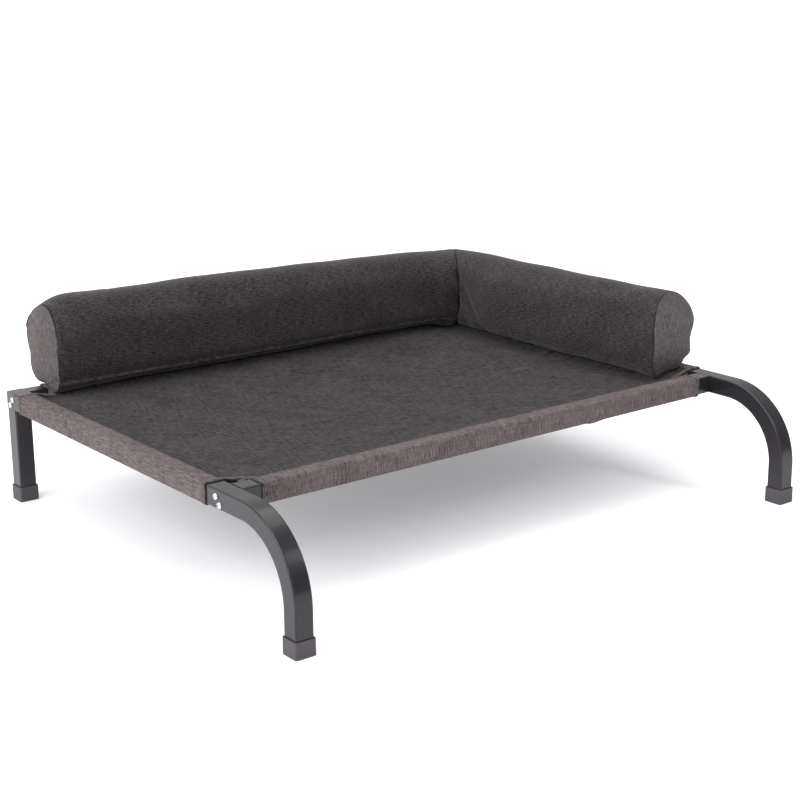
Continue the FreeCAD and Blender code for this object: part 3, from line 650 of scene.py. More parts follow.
def sling_piece():
    """The sling: deck, four sleeves and their flaps, cut as one cross and thickened to the cloth."""
    sizes = bpy.context.scene.bed_sling
    points, uvs, keep, (flat_x, flat_y), drawn = sling_surface()
    cloth = woven("Woven melange polyester, sling", sizes.dark, sizes.light, slub=(24 * MM, 1.7 * MM),
                  stretched_and_lit=(sizes.stretched_lit_dark, sizes.stretched_lit_light))
    piece = build("sling_cloth", [grid_part(points, uvs, keep=keep)], cloth)
    # This attribute is 1 where the cloth wraps a rail; there the lighter yarns stand partly for taut cloth
    # and partly for painted light.
    stretch = piece.data.attributes.new("stretch", "FLOAT", "POINT")
    stretch.data.foreach_set("value", drawn.ravel().astype(np.float32))
    thick = piece.modifiers.new("Thickness", "SOLIDIFY")
    thick.thickness = sizes.cloth
    thick.offset = 0
    area = float((np.diff(flat_x)[:, None] * np.diff(flat_y)[None] * keep).sum())
    return piece, (float(np.ptp(flat_x)), float(np.ptp(flat_y))), area


def mouth_path(end, side):
    """Edge of the sling at one corner: round one sleeve's mouth, across the notch, round the other's.

    Returns the points and the cloth's outward normals. end is -1 at the front and 1 at the back,
    side is -1 at the left and 1 at the right.
    """
    sizes = bpy.context.scene.bed_sling
    path, normals = wrap_path(sizes.flap)
    edge = sizes.hem / 2 - 1.6 * MM
    slip = SLIP if (end, side) == (-1, 1) else 0.0
    long_x = side * (SLEEVE_END_X - edge)
    rail_y = DECK_Y[0] if end < 0 else DECK_Y[1]
    short_y = (SLEEVE_END_Y[0] if end < 0 else SLEEVE_END_Y[1]) - end * edge
    stop = len(path) - 6
    ahead, up = path[:stop], normals[:stop]
    moved = slip * np.clip((ahead[:, 0] + 2 * MM) / (8 * MM), 0, 1)
    first = np.stack([long_x + side * moved, rail_y + end * ahead[:, 0], TOP + ahead[:, 1]], 1)
    first_up = np.stack([np.zeros(stop), end * up[:, 0], up[:, 1]], 1)
    last = np.stack([side * (DECK_X + ahead[:, 0]), np.full(stop, short_y), TOP + ahead[:, 1]], 1)
    last_up = np.stack([side * up[:, 0], np.zeros(stop), up[:, 1]], 1)
    turn = 7 * MM
    angles = np.radians(np.linspace(0, 90, 8))
    corner = np.stack([long_x + side * turn * (1 - np.cos(angles)),
                       short_y + end * turn * (1 - np.sin(angles)), np.zeros(8)], 1)
    corner[:, 2] = TOP + CLOTH_RISE - sag_at(corner[:, 0], corner[:, 1])
    corner_up = np.tile([0.0, 0.0, 1.0], (8, 1))
    points = np.vstack([first[::-1], corner, last])
    return points, np.vstack([first_up[::-1], corner_up, last_up])


def hem_pieces():
    """Rolled hems of the sling's four corners and the stitches that hold them."""
    sizes = bpy.context.scene.bed_sling
    rolls, rows = [], []
    for end in (-1, 1):
        for side in (-1, 1):
            path, ups = mouth_path(end, side)
            both = resampled(np.hstack([path, ups]), 2.5 * MM)
            centre, lift = both[:, :3], unit(both[:, 3:])
            rolls += sweep(centre, lift, stadium(sizes.hem, sizes.cloth + 1.9 * MM))
            rows += stitches(centre + lift * 1.72 * MM, lift, 3.6 * MM)
    # The hems' lighter yarn is the one over the rails: partly taut cloth, partly painted light.
    cloth = woven("Woven melange polyester, hems", sizes.dark, sizes.stretched_lit_light,
                  slub=(12 * MM, 1.6 * MM))
    thread = spun_thread("Polyester sewing thread, grey", "#6a6467")
    return build("sling_hems", rolls, cloth), build("sling_stitches", rows, thread)


def hook_tape():
    """Moulded nylon hooks on a woven ground: close dark ribs with a dull shine."""
    return ribbed("Hook tape, moulded nylon hooks", "#17161a", 1.6 * MM, 0.5 * MM, 0.55, 0.1)


def loop_tape():
    """Brushed nylon loops: a soft dark nap over faint ribs."""
    return ribbed("Loop tape, brushed nylon loops", "#1d1b1f", 2.2 * MM, 0.4 * MM, 0.9, 0.5)


def band(path, width, thickness, ups=(0, 0, 1)):
    """Flat band along a path: a stadium section swept with its thickness along the given direction."""
    return sweep(path, ups, stadium(width, thickness, 3))


def placed(piece, body, node_name):
    """Attaches a piece to the body it rides on and hides the CAD node that it stands for."""
    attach(piece, body)
    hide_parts(node_name)


def tape_piece(node_name, finish):
    """The four bands of one kind of tape under the deck, which hang and tilt as the deck does.

    A band's tilt is the deck's slope between the band's middle and its inner edge.
    """
    low, high = corners(node_name)
    height, thickness = (low[2] + high[2]) / 2, high[2] - low[2] - 0.15 * MM
    half, level, parts = TAPE_WIDTH / 2, np.zeros(90), []
    long_ends = (-FLAP_X, FLAP_X)
    short_ends = (SLEEVE_END_Y[0] + 45 * MM, SLEEVE_END_Y[1] - 45 * MM)
    for long_rail, side, edge, ends in ((True, -1, low[1], long_ends), (True, 1, high[1], long_ends),
                                        (False, -1, low[0], short_ends), (False, 1, high[0], short_ends)):
        along, across = np.linspace(*ends, 90), np.full(90, edge - side * half)
        order = slice(None) if long_rail else slice(None, None, -1)
        middle, inner = ((along, across)[order], (along, across - side * half)[order])
        drop = sag_at(*middle)
        slope = (drop - sag_at(*inner)) / half * side
        path = np.stack([*middle, height - drop], 1)
        parts += band(path, TAPE_WIDTH, thickness, np.stack([*(level, slope)[order], level + 1], 1))
    placed(build(node_name.replace("tapes", "tape_bands"), parts, finish), "frame", node_name)


def patch_piece(node_name, body, finish):
    """The three patches of one kind under the bolster: two along the back rail, one at the front right."""
    low, high = corners(node_name)
    back_y, front_x = high[1] - TAPE_WIDTH / 2, high[0] - TAPE_WIDTH / 2
    height = (low[2] + high[2]) / 2
    ends = [((start, back_y, height), (start + PATCH_LENGTH, back_y, height))
            for start in (low[0], -low[0] - PATCH_LENGTH)]
    ends.append(((front_x, low[1], height), (front_x, low[1] + PATCH_LENGTH, height)))
    parts = []
    for start, end in ends:
        parts += band(np.linspace(start, end, 9), TAPE_WIDTH, high[2] - low[2])
    placed(build(node_name + "_sewn", parts, finish), body, node_name)


# ---------------------------------------------------------------- the bolster's shape
SIDE_RISE = 0.038                           # how much taller the side arm is than the corner, as a share
END_NARROWING = {"left": 0.10, "front": 0.02}  # how much lower an arm is at its end seam, as a share
CORNER_ROUNDING = 12 * MM                   # how far the outer corner is drawn in
CORNER_PULL = (6 * MM, -13 * MM)            # how far the mitre's inner edge is pulled in x and in y
PANEL_PUFFS = (8 * MM, 5 * MM)              # how far the left and the front end panel bulge
# Tension folds beside the mitre: where each starts and ends, its width and its depth.
SIDE_FOLDS_YZ = (((0.354, 0.318), (0.262, 0.196), 10 * MM, 6.5 * MM),
                 ((0.350, 0.262), (0.312, 0.200), 7 * MM, 3.5 * MM))
BACK_FOLDS_XZ = (((0.435, 0.300), (0.385, 0.206), 8 * MM, 3.0 * MM),)


def bolster_profile():
    """Section of an arm, as shares of its width and height, from the underside up the inner face.

    A closed smooth curve through a few points: upright inner face, crown near it, sloping back and
    flat underside. Its points lie 7 mm apart, and closer round the raised seam. Returns the section,
    each point's distance from the seam, and the whole way round.
    """
    points = np.array([(0.15, 0.0), (0.05, 0.04), (0.005, 0.14), (0.0, 0.36), (0.005, 0.60), (0.05, 0.80),
                       (0.16, 0.94), (0.32, 1.0), (0.50, 0.985), (0.70, 0.91), (0.88, 0.78), (0.985, 0.64),
                       (1.0, 0.52), (0.93, 0.33), (0.85, 0.11), (0.68, 0.005), (0.40, 0.0)])
    points = points * (WIDTH_BACK, HEIGHT)
    ahead = np.roll(points, -1, 0)
    slopes = (ahead - np.roll(points, 1, 0)) / 2
    t = np.linspace(0, 1, 24, endpoint=False)[None, :, None]
    curve = ((2 * t ** 3 - 3 * t ** 2 + 1) * points[:, None] + (t ** 3 - 2 * t ** 2 + t) * slopes[:, None]
             + (3 * t ** 2 - 2 * t ** 3) * ahead[:, None]
             + (t ** 3 - t ** 2) * np.roll(slopes, -1, 0)[:, None]).reshape(-1, 2)
    closed = np.vstack([curve, curve[:1]])
    length = lengths_along(closed)
    inner_face = 24 * 4
    welt = np.interp(WELT_HEIGHT, curve[24:inner_face, 1], length[24:inner_face])
    close = welt + np.array([-5, -3, -1.6, -0.6, 0.6, 1.6, 3, 5]) * MM
    even = np.linspace(0, length[-1], 64, endpoint=False)
    even = even[(even < close[0] - 2.5 * MM) | (even > close[-1] + 2.5 * MM)]
    stops = np.sort(np.concatenate([even, close]))
    outline = np.stack([np.interp(stops, length, closed[:, axis]) for axis in (0, 1)], 1)
    outline[:, 1] = np.maximum(outline[:, 1], 0)
    return outline / (WIDTH_BACK, HEIGHT), stops - welt, length[-1]


def ring_stops(length):
    """Distances of the rings along an arm: 8 mm apart, closer together beside the seam at either end."""
    close = np.array([0, 0.8, 2.2, 4.5, 8, 13]) * MM
    inner = np.linspace(close[-1], length - close[-1], int((length - 2 * close[-1]) / (8 * MM)) + 1)[1:-1]
    return np.concatenate([close, inner, length - close[::-1]])


def bolster_rest():
    """The sewn shape before it is stuffed, as rings of one section from the left end to the front end.

    Back arm: x = left + u (mitre x - left), y across the width. Side arm: y = mitre y + u (front - mitre y),
    x across the width. The mitre line joins the inner corner to the outer corner, so both arms share
    its ring, and near it the inner edge is pulled forward. The height is full - slack u^2.2 along the
    back arm, the last 40 mm at the left narrow to the end seam, and the underside hangs as low as the
    deck. Returns points (rings, section, 3), UVs, and the distances from the end seams, the mitre seam
    and the raised seam.
    """
    sizes = bpy.context.scene.bed_bolster
    outline, around, girth = bolster_profile()
    across, up = outline.T
    left, front = BACK_LOW[0], SIDE_LOW[1]
    mitre_x, mitre_y = INNER_X + WIDTH_SIDE * across, INNER_Y + WIDTH_BACK * across
    back_length, side_length = INNER_X - left, INNER_Y - front
    back, side = ring_stops(back_length), ring_stops(side_length)[1:]
    u, w = (back / back_length)[:, None], (side / side_length)[:, None]
    back_x = left + u * (mitre_x - left)[None]
    side_y = mitre_y[None] + w * (front - mitre_y)[None]
    x = np.vstack([back_x, np.broadcast_to(mitre_x, side_y.shape)])
    y = np.vstack([np.broadcast_to(mitre_y, back_x.shape), side_y])
    along = np.concatenate([back, back_length + side])
    tall = sizes.full - sizes.slack * np.minimum(along / back_length, 1) ** 2.2
    tall += SIDE_RISE * (1 - np.exp(-np.maximum(along - back_length, 0) / 0.06))
    narrow = np.exp(-(along / 0.026) ** 1.5)
    at_front = np.exp(-(along[-1] - along) / 0.03)
    tall *= 1 - END_NARROWING["left"] * narrow - END_NARROWING["front"] * at_front
    z = BASE_Z + HEIGHT * up[None] * tall[:, None]
    middle_y = INNER_Y + WIDTH_BACK / 2
    y = y + (middle_y - y) * (0.03 * narrow[:, None])
    from_mitre = np.abs(along - back_length)[:, None]
    round_off = CORNER_ROUNDING * np.exp(-from_mitre / 0.045) * across[None] ** 3
    pulled = hill(from_mitre, 0, 0.07) * (1 - across[None]) ** 2
    x = x - round_off + CORNER_PULL[0] * pulled
    y = y - round_off + CORNER_PULL[1] * pulled
    z = z - sag_at(x, y) * np.clip(1 - up / 0.45, 0, 1)[None]
    lengths = np.append(around, around[0] + girth)
    uvs = np.stack(np.meshgrid(along, lengths, indexing="ij"), -1)
    uvs[..., 0] += 0.35 * (along > back_length)[:, None]
    seams = (np.minimum(along, along[-1] - along), np.abs(along - back_length), around)
    return np.stack([x, y, z], -1), uvs, seams


def end_cap(ring, outward, puff):
    """Stuffed end panel: rings that shrink to the middle, pushed out by puff (1 - r^2)^0.6.

    Its first ring stands just inside the seam. Its UV has U upright, so its slubs stand upright.
    """
    centre = ring.mean(0)
    shares = np.array([0.985, 0.955, 0.90, 0.80, 0.66, 0.50, 0.32, 0.14])
    points = centre + (ring - centre)[None] * shares[:, None, None]
    points = points + np.array(outward) * puff * (1 - shares ** 2)[:, None, None] ** 0.6
    flat = np.concatenate([points, points[:, :1]], 1)
    sideways = flat[..., 1] if abs(outward[0]) > 0.5 else flat[..., 0]
    return points, np.stack([flat[..., 2], sideways], -1), centre + np.array(outward) * puff


def bolster_mesh(points, uvs, puffs):
    """Points, faces and corner UVs of the whole bolster, and how many of the faces are the arms'.

    The arms' rings come first. Each end then has its seam, its panel's rings and its pole.
    """
    rings, columns = points.shape[:2]
    all_points, faces, corner_uvs, _ = grid_part(points, uvs, closed=True)
    arm_faces = len(faces)
    base = rings * columns
    for ring_index, outward, puff in ((0, (-1, 0, 0), puffs[0]), (rings - 1, (0, -1, 0), puffs[1])):
        cap, cap_uvs, pole = end_cap(points[ring_index], outward, puff)
        seam = ring_index * columns + np.arange(columns)
        ids = np.vstack([seam, base + np.arange(len(cap) * columns).reshape(-1, columns)])
        grid_uvs = np.concatenate([cap_uvs[:1] * 1.5 - cap_uvs[1:2] * 0.5, cap_uvs])
        corner_i, corner_j = grid_corners(len(ids) - 1, columns)
        pole_id = base + len(cap) * columns
        j = np.arange(columns)
        fan = np.stack([ids[-1], np.full(columns, pole_id), np.roll(ids[-1], -1)], 1)
        middle_uv = np.tile(grid_uvs[-1].mean(0), (columns, 1))
        fan_uvs = np.stack([grid_uvs[-1][j], middle_uv, grid_uvs[-1][j + 1]], 1)
        if ring_index == 0:
            corner_i, corner_j = corner_i[:, ::-1], corner_j[:, ::-1]
            fan, fan_uvs = fan[:, ::-1], fan_uvs[:, ::-1]
        faces += ids[corner_i, corner_j % columns].tolist() + fan.tolist()
        panel_uvs = grid_uvs[corner_i, corner_j].reshape(-1, 2)
        corner_uvs = np.vstack([corner_uvs, panel_uvs, fan_uvs.reshape(-1, 2)])
        all_points = np.vstack([all_points, cap.reshape(-1, 3), pole[None]])
        base = pole_id + 1
    return all_points, faces, corner_uvs, arm_faces


def stuffed(piece, pinned):
    """Cloth simulation of the cover under the pressure of its filling.

    The end seams are held, so the cover swells and puckers between them. No point moves further than
    the set travel: longer moves are scaled back to it. Returns the points of the stuffed shape.
    """
    sizes = bpy.context.scene.bed_bolster
    rest = mesh_points(piece.data)
    group = piece.vertex_groups.new(name="seams")
    for weight in np.unique(pinned[pinned > 0]):
        group.add(np.flatnonzero(pinned == weight).tolist(), float(weight), "REPLACE")
    cloth = piece.modifiers.new("Filling", "CLOTH")
    setup = cloth.settings
    setup.quality = 5
    setup.mass = 0.35
    setup.use_pressure = True
    setup.uniform_pressure_force = sizes.pressure
    setup.shrink_min = -0.012
    setup.bending_stiffness = 0.8
    setup.tension_stiffness = 18
    setup.compression_stiffness = 18
    setup.vertex_group_mass = "seams"
    setup.effector_weights.gravity = 0
    scene = bpy.context.scene
    for moment in range(1, 21):
        scene.frame_set(moment)
    shaped = piece.evaluated_get(bpy.context.evaluated_depsgraph_get())
    swollen = mesh_points(shaped.to_mesh())
    shaped.to_mesh_clear()
    piece.modifiers.remove(cloth)
    piece.vertex_groups.clear()
    scene.frame_set(1)
    step = swollen - rest
    size = np.linalg.norm(step, axis=1, keepdims=True)
    return rest + step * np.minimum(1, sizes.travel / np.maximum(size, 1e-9))


def move_points(mesh, points):
    """Puts the vertices of a mesh in new places."""
    mesh.vertices.foreach_set("co", points.astype(np.float32).ravel())
    mesh.update()


def hill(value, middle, width):
    """Smooth hill of height 1: e^(-((value - middle) / width)^2)."""
    return np.exp(-((value - middle) / width) ** 2)


def fold(flat, start, end, width, depth):
    """Depth of a tension fold at points of a plane: a valley with a ridge beside it, fading to its ends.

    Across the line the shape is -(1 - d) e^(-d^2) with d the distance in widths; along it,
    sin(pi t)^0.7.
    """
    start, end = np.array(start), np.array(end)
    run = end - start
    t = ((flat - start) @ run) / (run @ run)
    off = ((flat - start) @ np.array([-run[1], run[0]])) / np.linalg.norm(run) / width
    inside = (t > 0) & (t < 1)
    return -depth * (1 - off) * np.exp(-off ** 2) * np.sin(np.pi * np.clip(t, 0, 1)) ** 0.7 * inside


def creases(points):
    """Depth of the folds and puckers that the sewing leaves, at each point of the stuffed cover."""
    x, y, z = points.T
    on_side = (x > INNER_X - 14 * MM) & (x < INNER_X + 40 * MM) & (y < INNER_Y)
    on_back = (y > INNER_Y - 14 * MM) & (y < INNER_Y + 40 * MM) & (x < INNER_X)
    depth = sum(fold(points[:, 1:], *shape) * on_side for shape in SIDE_FOLDS_YZ)
    depth += sum(fold(points[:, ::2], *shape) * on_back for shape in BACK_FOLDS_XZ)
    front, left = SIDE_LOW[1], BACK_LOW[0]
    panel = y < front + 0.5 * MM
    tuck = np.clip((INNER_X + 0.07 - x) / 0.03, 0, 1)
    depth -= (3.0 * MM * hill(z, 0.233, 4 * MM) + 4.5 * MM * np.clip((0.233 - z) / 0.02, 0, 1)) * tuck * panel
    outer = x > INNER_X + 0.75 * WIDTH_SIDE
    bulge = 5 * MM * hill(z, 0.238, 10 * MM) - 4 * MM * hill(z, 0.220, 8 * MM)
    depth += bulge * hill(y, front, 30 * MM) * outer
    pinch = hill(z, 0.226, 5 * MM) * hill(x, left + 6 * MM, 14 * MM)
    depth -= 4.5 * MM * pinch * (y < INNER_Y + 20 * MM)
    return depth


def filling_lumps(points):
    """Slow unevenness of the filling: sums of products of sines in space, about 1 mm deep."""
    x, y, z = points.T
    lumps = (np.sin(x * 21 + 1.3) * np.sin(z * 33 + x * 5) + np.sin(y * 23 + 0.4) * np.sin(z * 29 + y * 7 + 2)
             + 0.4 * np.sin(x * 47 + y * 39 + z * 51))
    return 0.9 * MM * lumps


def bolster_piece():
    """The bolster as one padded piece: sewn shape, stuffed by simulation, then its seams drawn in."""
    sizes = bpy.context.scene.bed_bolster
    rest, uvs, (end_seam, mitre_seam, welt) = bolster_rest()
    rings, columns = rest.shape[:2]
    points, faces, corner_uvs, arm_faces = bolster_mesh(rest, uvs, PANEL_PUFFS)
    arms = woven("Woven melange polyester, bolster arms", sizes.dark, sizes.light, sheen=0.15)
    # The end panels' lighter yarns are partly painted sheen of their upright slubs.
    ends = woven("Woven melange polyester, bolster ends", sizes.end_tone_and_sheen_dark, sizes.end_tone_and_sheen_light,
                 slub=(16 * MM, 1.2 * MM))
    piece = build("bolster_cushion", [(points, faces, corner_uvs, 0)], arms, ends)
    slots = (np.arange(len(faces)) >= arm_faces).astype(np.int32)
    piece.data.polygons.foreach_set("material_index", slots)
    body = rings * columns
    # Seam attribute along the end and mitre seams: dark seam lines, partly the thread and partly painted
    # shade in their grooves.
    sewn = np.zeros(len(points), np.float32)
    sewn[:body] = np.repeat(hill(end_seam, 0, 1.3 * MM) + 0.8 * hill(mitre_seam, 0, 1.3 * MM), columns)
    piece.data.attributes.new("seam", "FLOAT", "POINT").data.foreach_set("value", sewn)
    pinned = np.zeros(len(points))
    pinned[:body] = np.repeat(np.where(end_seam < 1e-6, 1.0, 0.0), columns)
    pinned[:body] = np.maximum(pinned[:body], np.tile(np.abs(welt) < 1.2 * MM, rings) * 0.9)
    moved = stuffed(piece, pinned)
    move_points(piece.data, moved)
    depth = creases(moved) + filling_lumps(moved) * (1 - pinned)
    groove = np.exp(-(end_seam / (1.7 * MM)) ** 1.5) + 0.7 * np.exp(-(mitre_seam / (1.7 * MM)) ** 1.5)
    depth[:body] -= np.repeat(sizes.seam * groove, columns)
    ridge = hill(welt, 0, 1.5 * MM) - 0.8 * hill(welt, 4 * MM, 2.4 * MM)
    on_back = np.where(np.arange(rings) <= np.argmin(mitre_seam), 1.0, 0.2)
    depth[:body] += np.outer(2.7 * MM * on_back, ridge).ravel()
    shaped = against_zip(moved + mesh_normals(piece.data) * depth[:, None])
    shaped[:, 2] = np.maximum(shaped[:, 2], BASE_Z - sag_at(shaped[:, 0], shaped[:, 1]))
    move_points(piece.data, shaped)
    finer = piece.modifiers.new("Finer", "SUBSURF")
    finer.levels = finer.render_levels = 1
    return piece


def against_zip(points):
    """Keeps the cover flat under the zip: near its tape, points are drawn to the tape's own plane."""
    low, high = corners("zip_tape")
    lower, upper = np.array([low[1], low[2]]), np.array([high[1], high[2]])
    slope = unit(np.array([upper[0] - lower[0] - 0.3 * MM, upper[1] - lower[1] + 0.3 * MM]))
    out = np.array([slope[1], -slope[0]])
    middle = (lower + upper) / 2 - out * 0.6 * MM
    offset = points[:, 1:] - middle
    up, away = offset @ slope, offset @ out
    along = np.clip((high[0] + 0.02 - np.abs(points[:, 0])) / 0.02, 0, 1)
    near = along * np.clip((26 * MM - np.abs(up)) / (11 * MM), 0, 1)
    near = near * (points[:, 1] > INNER_Y + WIDTH_BACK / 2)
    moved = points.copy()
    moved[:, 1:] -= (near * away)[:, None] * out
    return moved


# ---------------------------------------------------------------- the zip
def zip_directions():
    """Unit vectors up along the zip's tape, across its length, and out of its face."""
    low, high = corners("zip_tape")
    slope = unit(np.array([0, high[1] - low[1], high[2] - low[2]]))
    return slope, np.array([0, slope[2], -slope[1]])


def zip_tape_piece(out):
    """The zip's woven tape: a flat band 1.4 mm thick along the bolster's back."""
    low, high = corners("zip_tape")
    middle = (low + high) / 2
    ends = np.array([[low[0], *middle[1:]], [high[0], *middle[1:]]])
    path = np.vstack([line(ends[0], ends[1], 60), ends[1:]])
    width = np.hypot(*(high - low)[1:]) - 0.6 * MM
    finish = ribbed("Woven zip tape", "#1b191c", 1.4 * MM, 0.3 * MM, 0.85, 0.2)
    tape = build("zip_tape_woven", band(path, width, 1.4 * MM, out), finish)
    placed(tape, "bolster", "zip_tape")


def zip_coil_piece(slope, out, nylon):
    """The zip's coil: one wire wound on a flat helix, middle + slope 2.1 mm sin a + out 0.4 mm cos a."""
    low, high = corners("zip_coil")
    pitch, wire = 1.9 * MM, 0.75 * MM
    turns = int((high[0] - low[0]) / pitch)
    t = np.linspace(0, turns, turns * 10 + 1)
    swing = 2 * np.pi * t
    first = np.array([low[0], *((low + high) / 2)[1:]])
    helix = (first + np.outer(t * pitch, [1, 0, 0]) + np.outer(np.sin(swing) * (2.5 * MM - wire / 2), slope)
             + np.outer(np.cos(swing) * (0.8 * MM - wire / 2), out))
    coil = build("zip_coil_turns", sweep(helix, (1.0, 0.02, 0.01), ellipse(wire, wire, 5)), nylon)
    placed(coil, "bolster", "zip_coil")


# ---------------------------------------------------------------- operators
class BED_OT_finish_frame(bpy.types.Operator):
    """Gives the steel, plastic and plated parts of the frame their finishes."""
    bl_idname = "bed.finish_frame"
    bl_label = "Finish the frame"

    def execute(self, context):
        look = context.scene.bed_frame
        corners_of = [f"{end}_{side}" for end in ("front", "back") for side in ("left", "right")]
        tubes = [f"{corner}_{part}" for corner in corners_of for part in ("leg", "stub")]
        tubes += ["front_rail", "back_rail", "left_end_rail", "right_end_rail"]
        dress(tubes, powder_coated_steel(look))
        dress([f"{corner}_foot_cap" for corner in corners_of], moulded_cap(look))
        dress(["leg_mouth_collars", "stub_mouth_collars"], moulded_nylon(look))
        zinc = plated("Zinc-plated steel", "#a9adb2", (0.30, 0.42), 0.7 * MM)
        dress(["end_rail_spigots", "long_rail_spigots", "corner_nuts"], zinc)
        dress(["corner_bolts"], plated("Chromed steel", "#d9dadd", (0.12, 0.2), 0.5 * MM))
        return {"FINISHED"}


class BED_OT_sew_sling(bpy.types.Operator):
    """Makes the sling with its rolled hems and their stitches."""
    bl_idname = "bed.sew_sling"
    bl_label = "Sew the sling"

    def execute(self, context):
        sling, flat, area = sling_piece()
        hems, thread = hem_pieces()
        for piece in (sling, hems, thread):
            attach(piece, "frame")
        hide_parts("deck_panel", "front_sleeve", "back_sleeve", "left_sleeve", "right_sleeve")
        return {"FINISHED"}


class BED_OT_sew_tapes(bpy.types.Operator):
    """Makes the tapes that close the sleeves and the patches that hold the bolster."""
    bl_idname = "bed.sew_tapes"
    bl_label = "Sew the hook and loop tapes"

    def execute(self, context):
        hooks, loops = hook_tape(), loop_tape()
        tape_piece("sling_hook_tapes", hooks)
        tape_piece("sling_loop_tapes", loops)
        patch_piece("bolster_hook_patches", "frame", hooks)
        patch_piece("bolster_loop_patches", "bolster", loops)
        return {"FINISHED"}


class BED_OT_stuff_bolster(bpy.types.Operator):
    """Makes the bolster, stuffs it and draws in its seams."""
    bl_idname = "bed.stuff_bolster"
    bl_label = "Stuff the bolster"

    def execute(self, context):
        piece = bolster_piece()
        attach(piece, "bolster")
        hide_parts("bolster_back_cover", "bolster_side_cover", "bolster_back_end_panel",
                    "bolster_side_end_panel", "bolster_back_fill", "bolster_side_fill")
        return {"FINISHED"}


class BED_OT_fit_zip(bpy.types.Operator):
    """Makes the zip's tape and coil and finishes its slider and pull."""
    bl_idname = "bed.fit_zip"
    bl_label = "Fit the zip"

    def execute(self, context):
        slope, out = zip_directions()
        zip_tape_piece(out)
        zip_coil_piece(slope, out, moulded_nylon(context.scene.bed_frame))
        dress(["zip_slider", "zip_pull"], plated("Black-nickelled zinc", "#5b5a5e", (0.2, 0.3), 0.6 * MM))
        return {"FINISHED"}


# Where each lamp stands and how large it is. Its power is the studio setting of the same name.
LAMPS = {"key": ((-3.2, -0.4, 1.9), (2.6, 2.2)), "top": ((0.3, 0.6, 3.6), (3.2, 3.2)),
         "strip": ((-2.7, -1.3, 1.2), (0.14, 1.2)), "kicker": ((1.2, -2.0, 1.6), (0.22, 0.7))}


class BED_OT_light_stage(bpy.types.Operator):
    """Lays the pale floor, hangs the soft lights and sets the camera."""
    bl_idname = "bed.light_stage"
    bl_label = "Light the stage"

    def execute(self, context):
        scene = context.scene
        look = scene.bed_studio
        paper_floor(look)
        scene.world = white_studio(look)
        for name, (place, size) in LAMPS.items():
            light = bpy.data.lights.new(name, "AREA")
            light.shape = "RECTANGLE"
            light.size, light.size_y = size
            light.energy = getattr(look, name)
            lamp = bpy.data.objects.new(name, light)
            lamp.matrix_world = aimed(place, (0.0, 0.0, 0.15))
            scene.collection.objects.link(lamp)
        camera = bpy.data.cameras.new("camera")
        camera.lens = 72.92
        camera.sensor_width = 36
        camera.clip_end = 200
        holder = bpy.data.objects.new("camera", camera)
        holder.matrix_world = camera_place()
        scene.collection.objects.link(holder)
        scene.camera = holder
        scene.view_settings.view_transform = "Standard"
        return {"FINISHED"}


def paper_floor(look):
    """Wide pale floor, a sheet of translucent paper lit a little from below: matt, with a fine grain."""
    surface = {"Roughness": 0.9, "Base Color": look.floor, "Specular IOR Level": 0.1,
               "Emission Color": look.floor, "Emission Strength": look.glow}
    finish, tree, shader = principled("Translucent paper floor", surface)
    grain = node(tree, "TexNoise", {"Vector": node(tree, "TexCoord").outputs["Object"], "Scale": 400.0})
    bump = node(tree, "Bump", {"Height": grain.outputs["Fac"], "Distance": 0.02 * MM})
    tree.links.new(bump.outputs["Normal"], shader.inputs["Normal"])
    edges = np.linspace(-60, 60, 5)
    plane = np.stack([*np.meshgrid(edges, edges, indexing="ij"), np.zeros((5, 5))], -1)
    return build("floor", [grid_part(plane, plane[..., :2])], finish)


def white_studio(look):
    """White surroundings, brightest above and to the left: strength = sky (0.9 + direction . slant)."""
    world = bpy.data.worlds.new("White studio")
    world.use_nodes = True
    tree = world.node_tree
    background = tree.nodes["Background"]
    background.inputs["Color"].default_value = linear("#ffffff")
    direction = node(tree, "TexCoord").outputs["Generated"]
    slant = node(tree, "VectorMath", {0: direction, 1: (-0.55, 0.25, 0.50)}, operation="DOT_PRODUCT")
    strength = node(tree, "Math", {0: slant.outputs["Value"], 1: look.sky, 2: 0.9 * look.sky},
                    operation="MULTIPLY_ADD")
    tree.links.new(strength.outputs[0], background.inputs["Strength"])
    return world


def aimed(place, target):
    """Placement matrix of a lamp that stands at a place and shines at a target."""
    forward = unit(np.array(target, float) - np.array(place))
    right = unit(np.cross(forward, [0, 0, 1.0]))
    up = np.cross(right, forward)
    return placement(right, up, -forward, place)


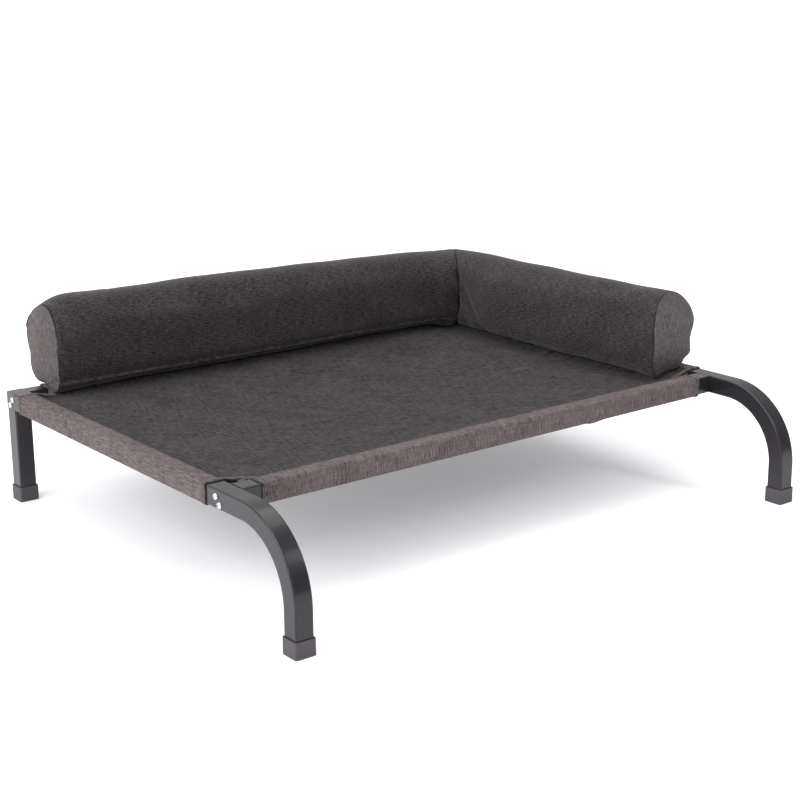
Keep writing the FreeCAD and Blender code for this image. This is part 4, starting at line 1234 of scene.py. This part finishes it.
def placement(right, up, back, place):
    """4 x 4 matrix whose columns are three axes and a place."""
    columns = np.stack([right, up, back, np.array(place, float)], 1)
    return Matrix(np.vstack([columns, [0, 0, 0, 1]]).tolist())


def camera_place():
    """Where the camera stands, turned by its yaw from +Y towards +X, its pitch and its roll."""
    place = (-1.7436, -2.25668, 0.97956)
    yaw, pitch, roll = np.radians([38.034, -15.565, -0.402])
    forward = np.array([np.sin(yaw) * np.cos(pitch), np.cos(yaw) * np.cos(pitch), np.sin(pitch)])
    right = np.array([np.cos(yaw), -np.sin(yaw), 0])
    up = np.cross(right, forward)
    return placement(right * np.cos(roll) + up * np.sin(roll), up * np.cos(roll) - right * np.sin(roll),
                     -forward, place)


class BED_PT_panel(bpy.types.Panel):
    """Lists the bed's making steps and their settings."""
    bl_idname = "BED_PT_panel"
    bl_label = "Dog bed"
    bl_space_type = "VIEW_3D"
    bl_region_type = "UI"
    bl_category = "Dog bed"

    def draw(self, context):
        for step in OPERATORS:
            self.layout.operator(step.bl_idname)
        for name, group in SETTINGS.items():
            box = self.layout.box()
            for field in group.__annotations__:
                box.prop(getattr(context.scene, name), field)


OPERATORS = [BED_OT_finish_frame, BED_OT_sew_sling, BED_OT_sew_tapes, BED_OT_stuff_bolster, BED_OT_fit_zip,
             BED_OT_light_stage]
CLASSES = [*SETTINGS.values(), *OPERATORS, BED_PT_panel]


def register():
    """Registers the classes and puts the settings on the scene."""
    for made in CLASSES:
        bpy.utils.register_class(made)
    for name, group in SETTINGS.items():
        setattr(bpy.types.Scene, name, bpy.props.PointerProperty(type=group))


def unregister():
    """Takes the settings and the classes away again."""
    for name in SETTINGS:
        delattr(bpy.types.Scene, name)
    for made in reversed(CLASSES):
        bpy.utils.unregister_class(made)


def main():
    """Makes the bed step by step."""
    register()
    bpy.ops.bed.finish_frame()
    bpy.ops.bed.sew_sling()
    bpy.ops.bed.sew_tapes()
    bpy.ops.bed.stuff_bolster()
    bpy.ops.bed.fit_zip()
    bpy.ops.bed.light_stage()


if __name__ == "__main__":
    main()
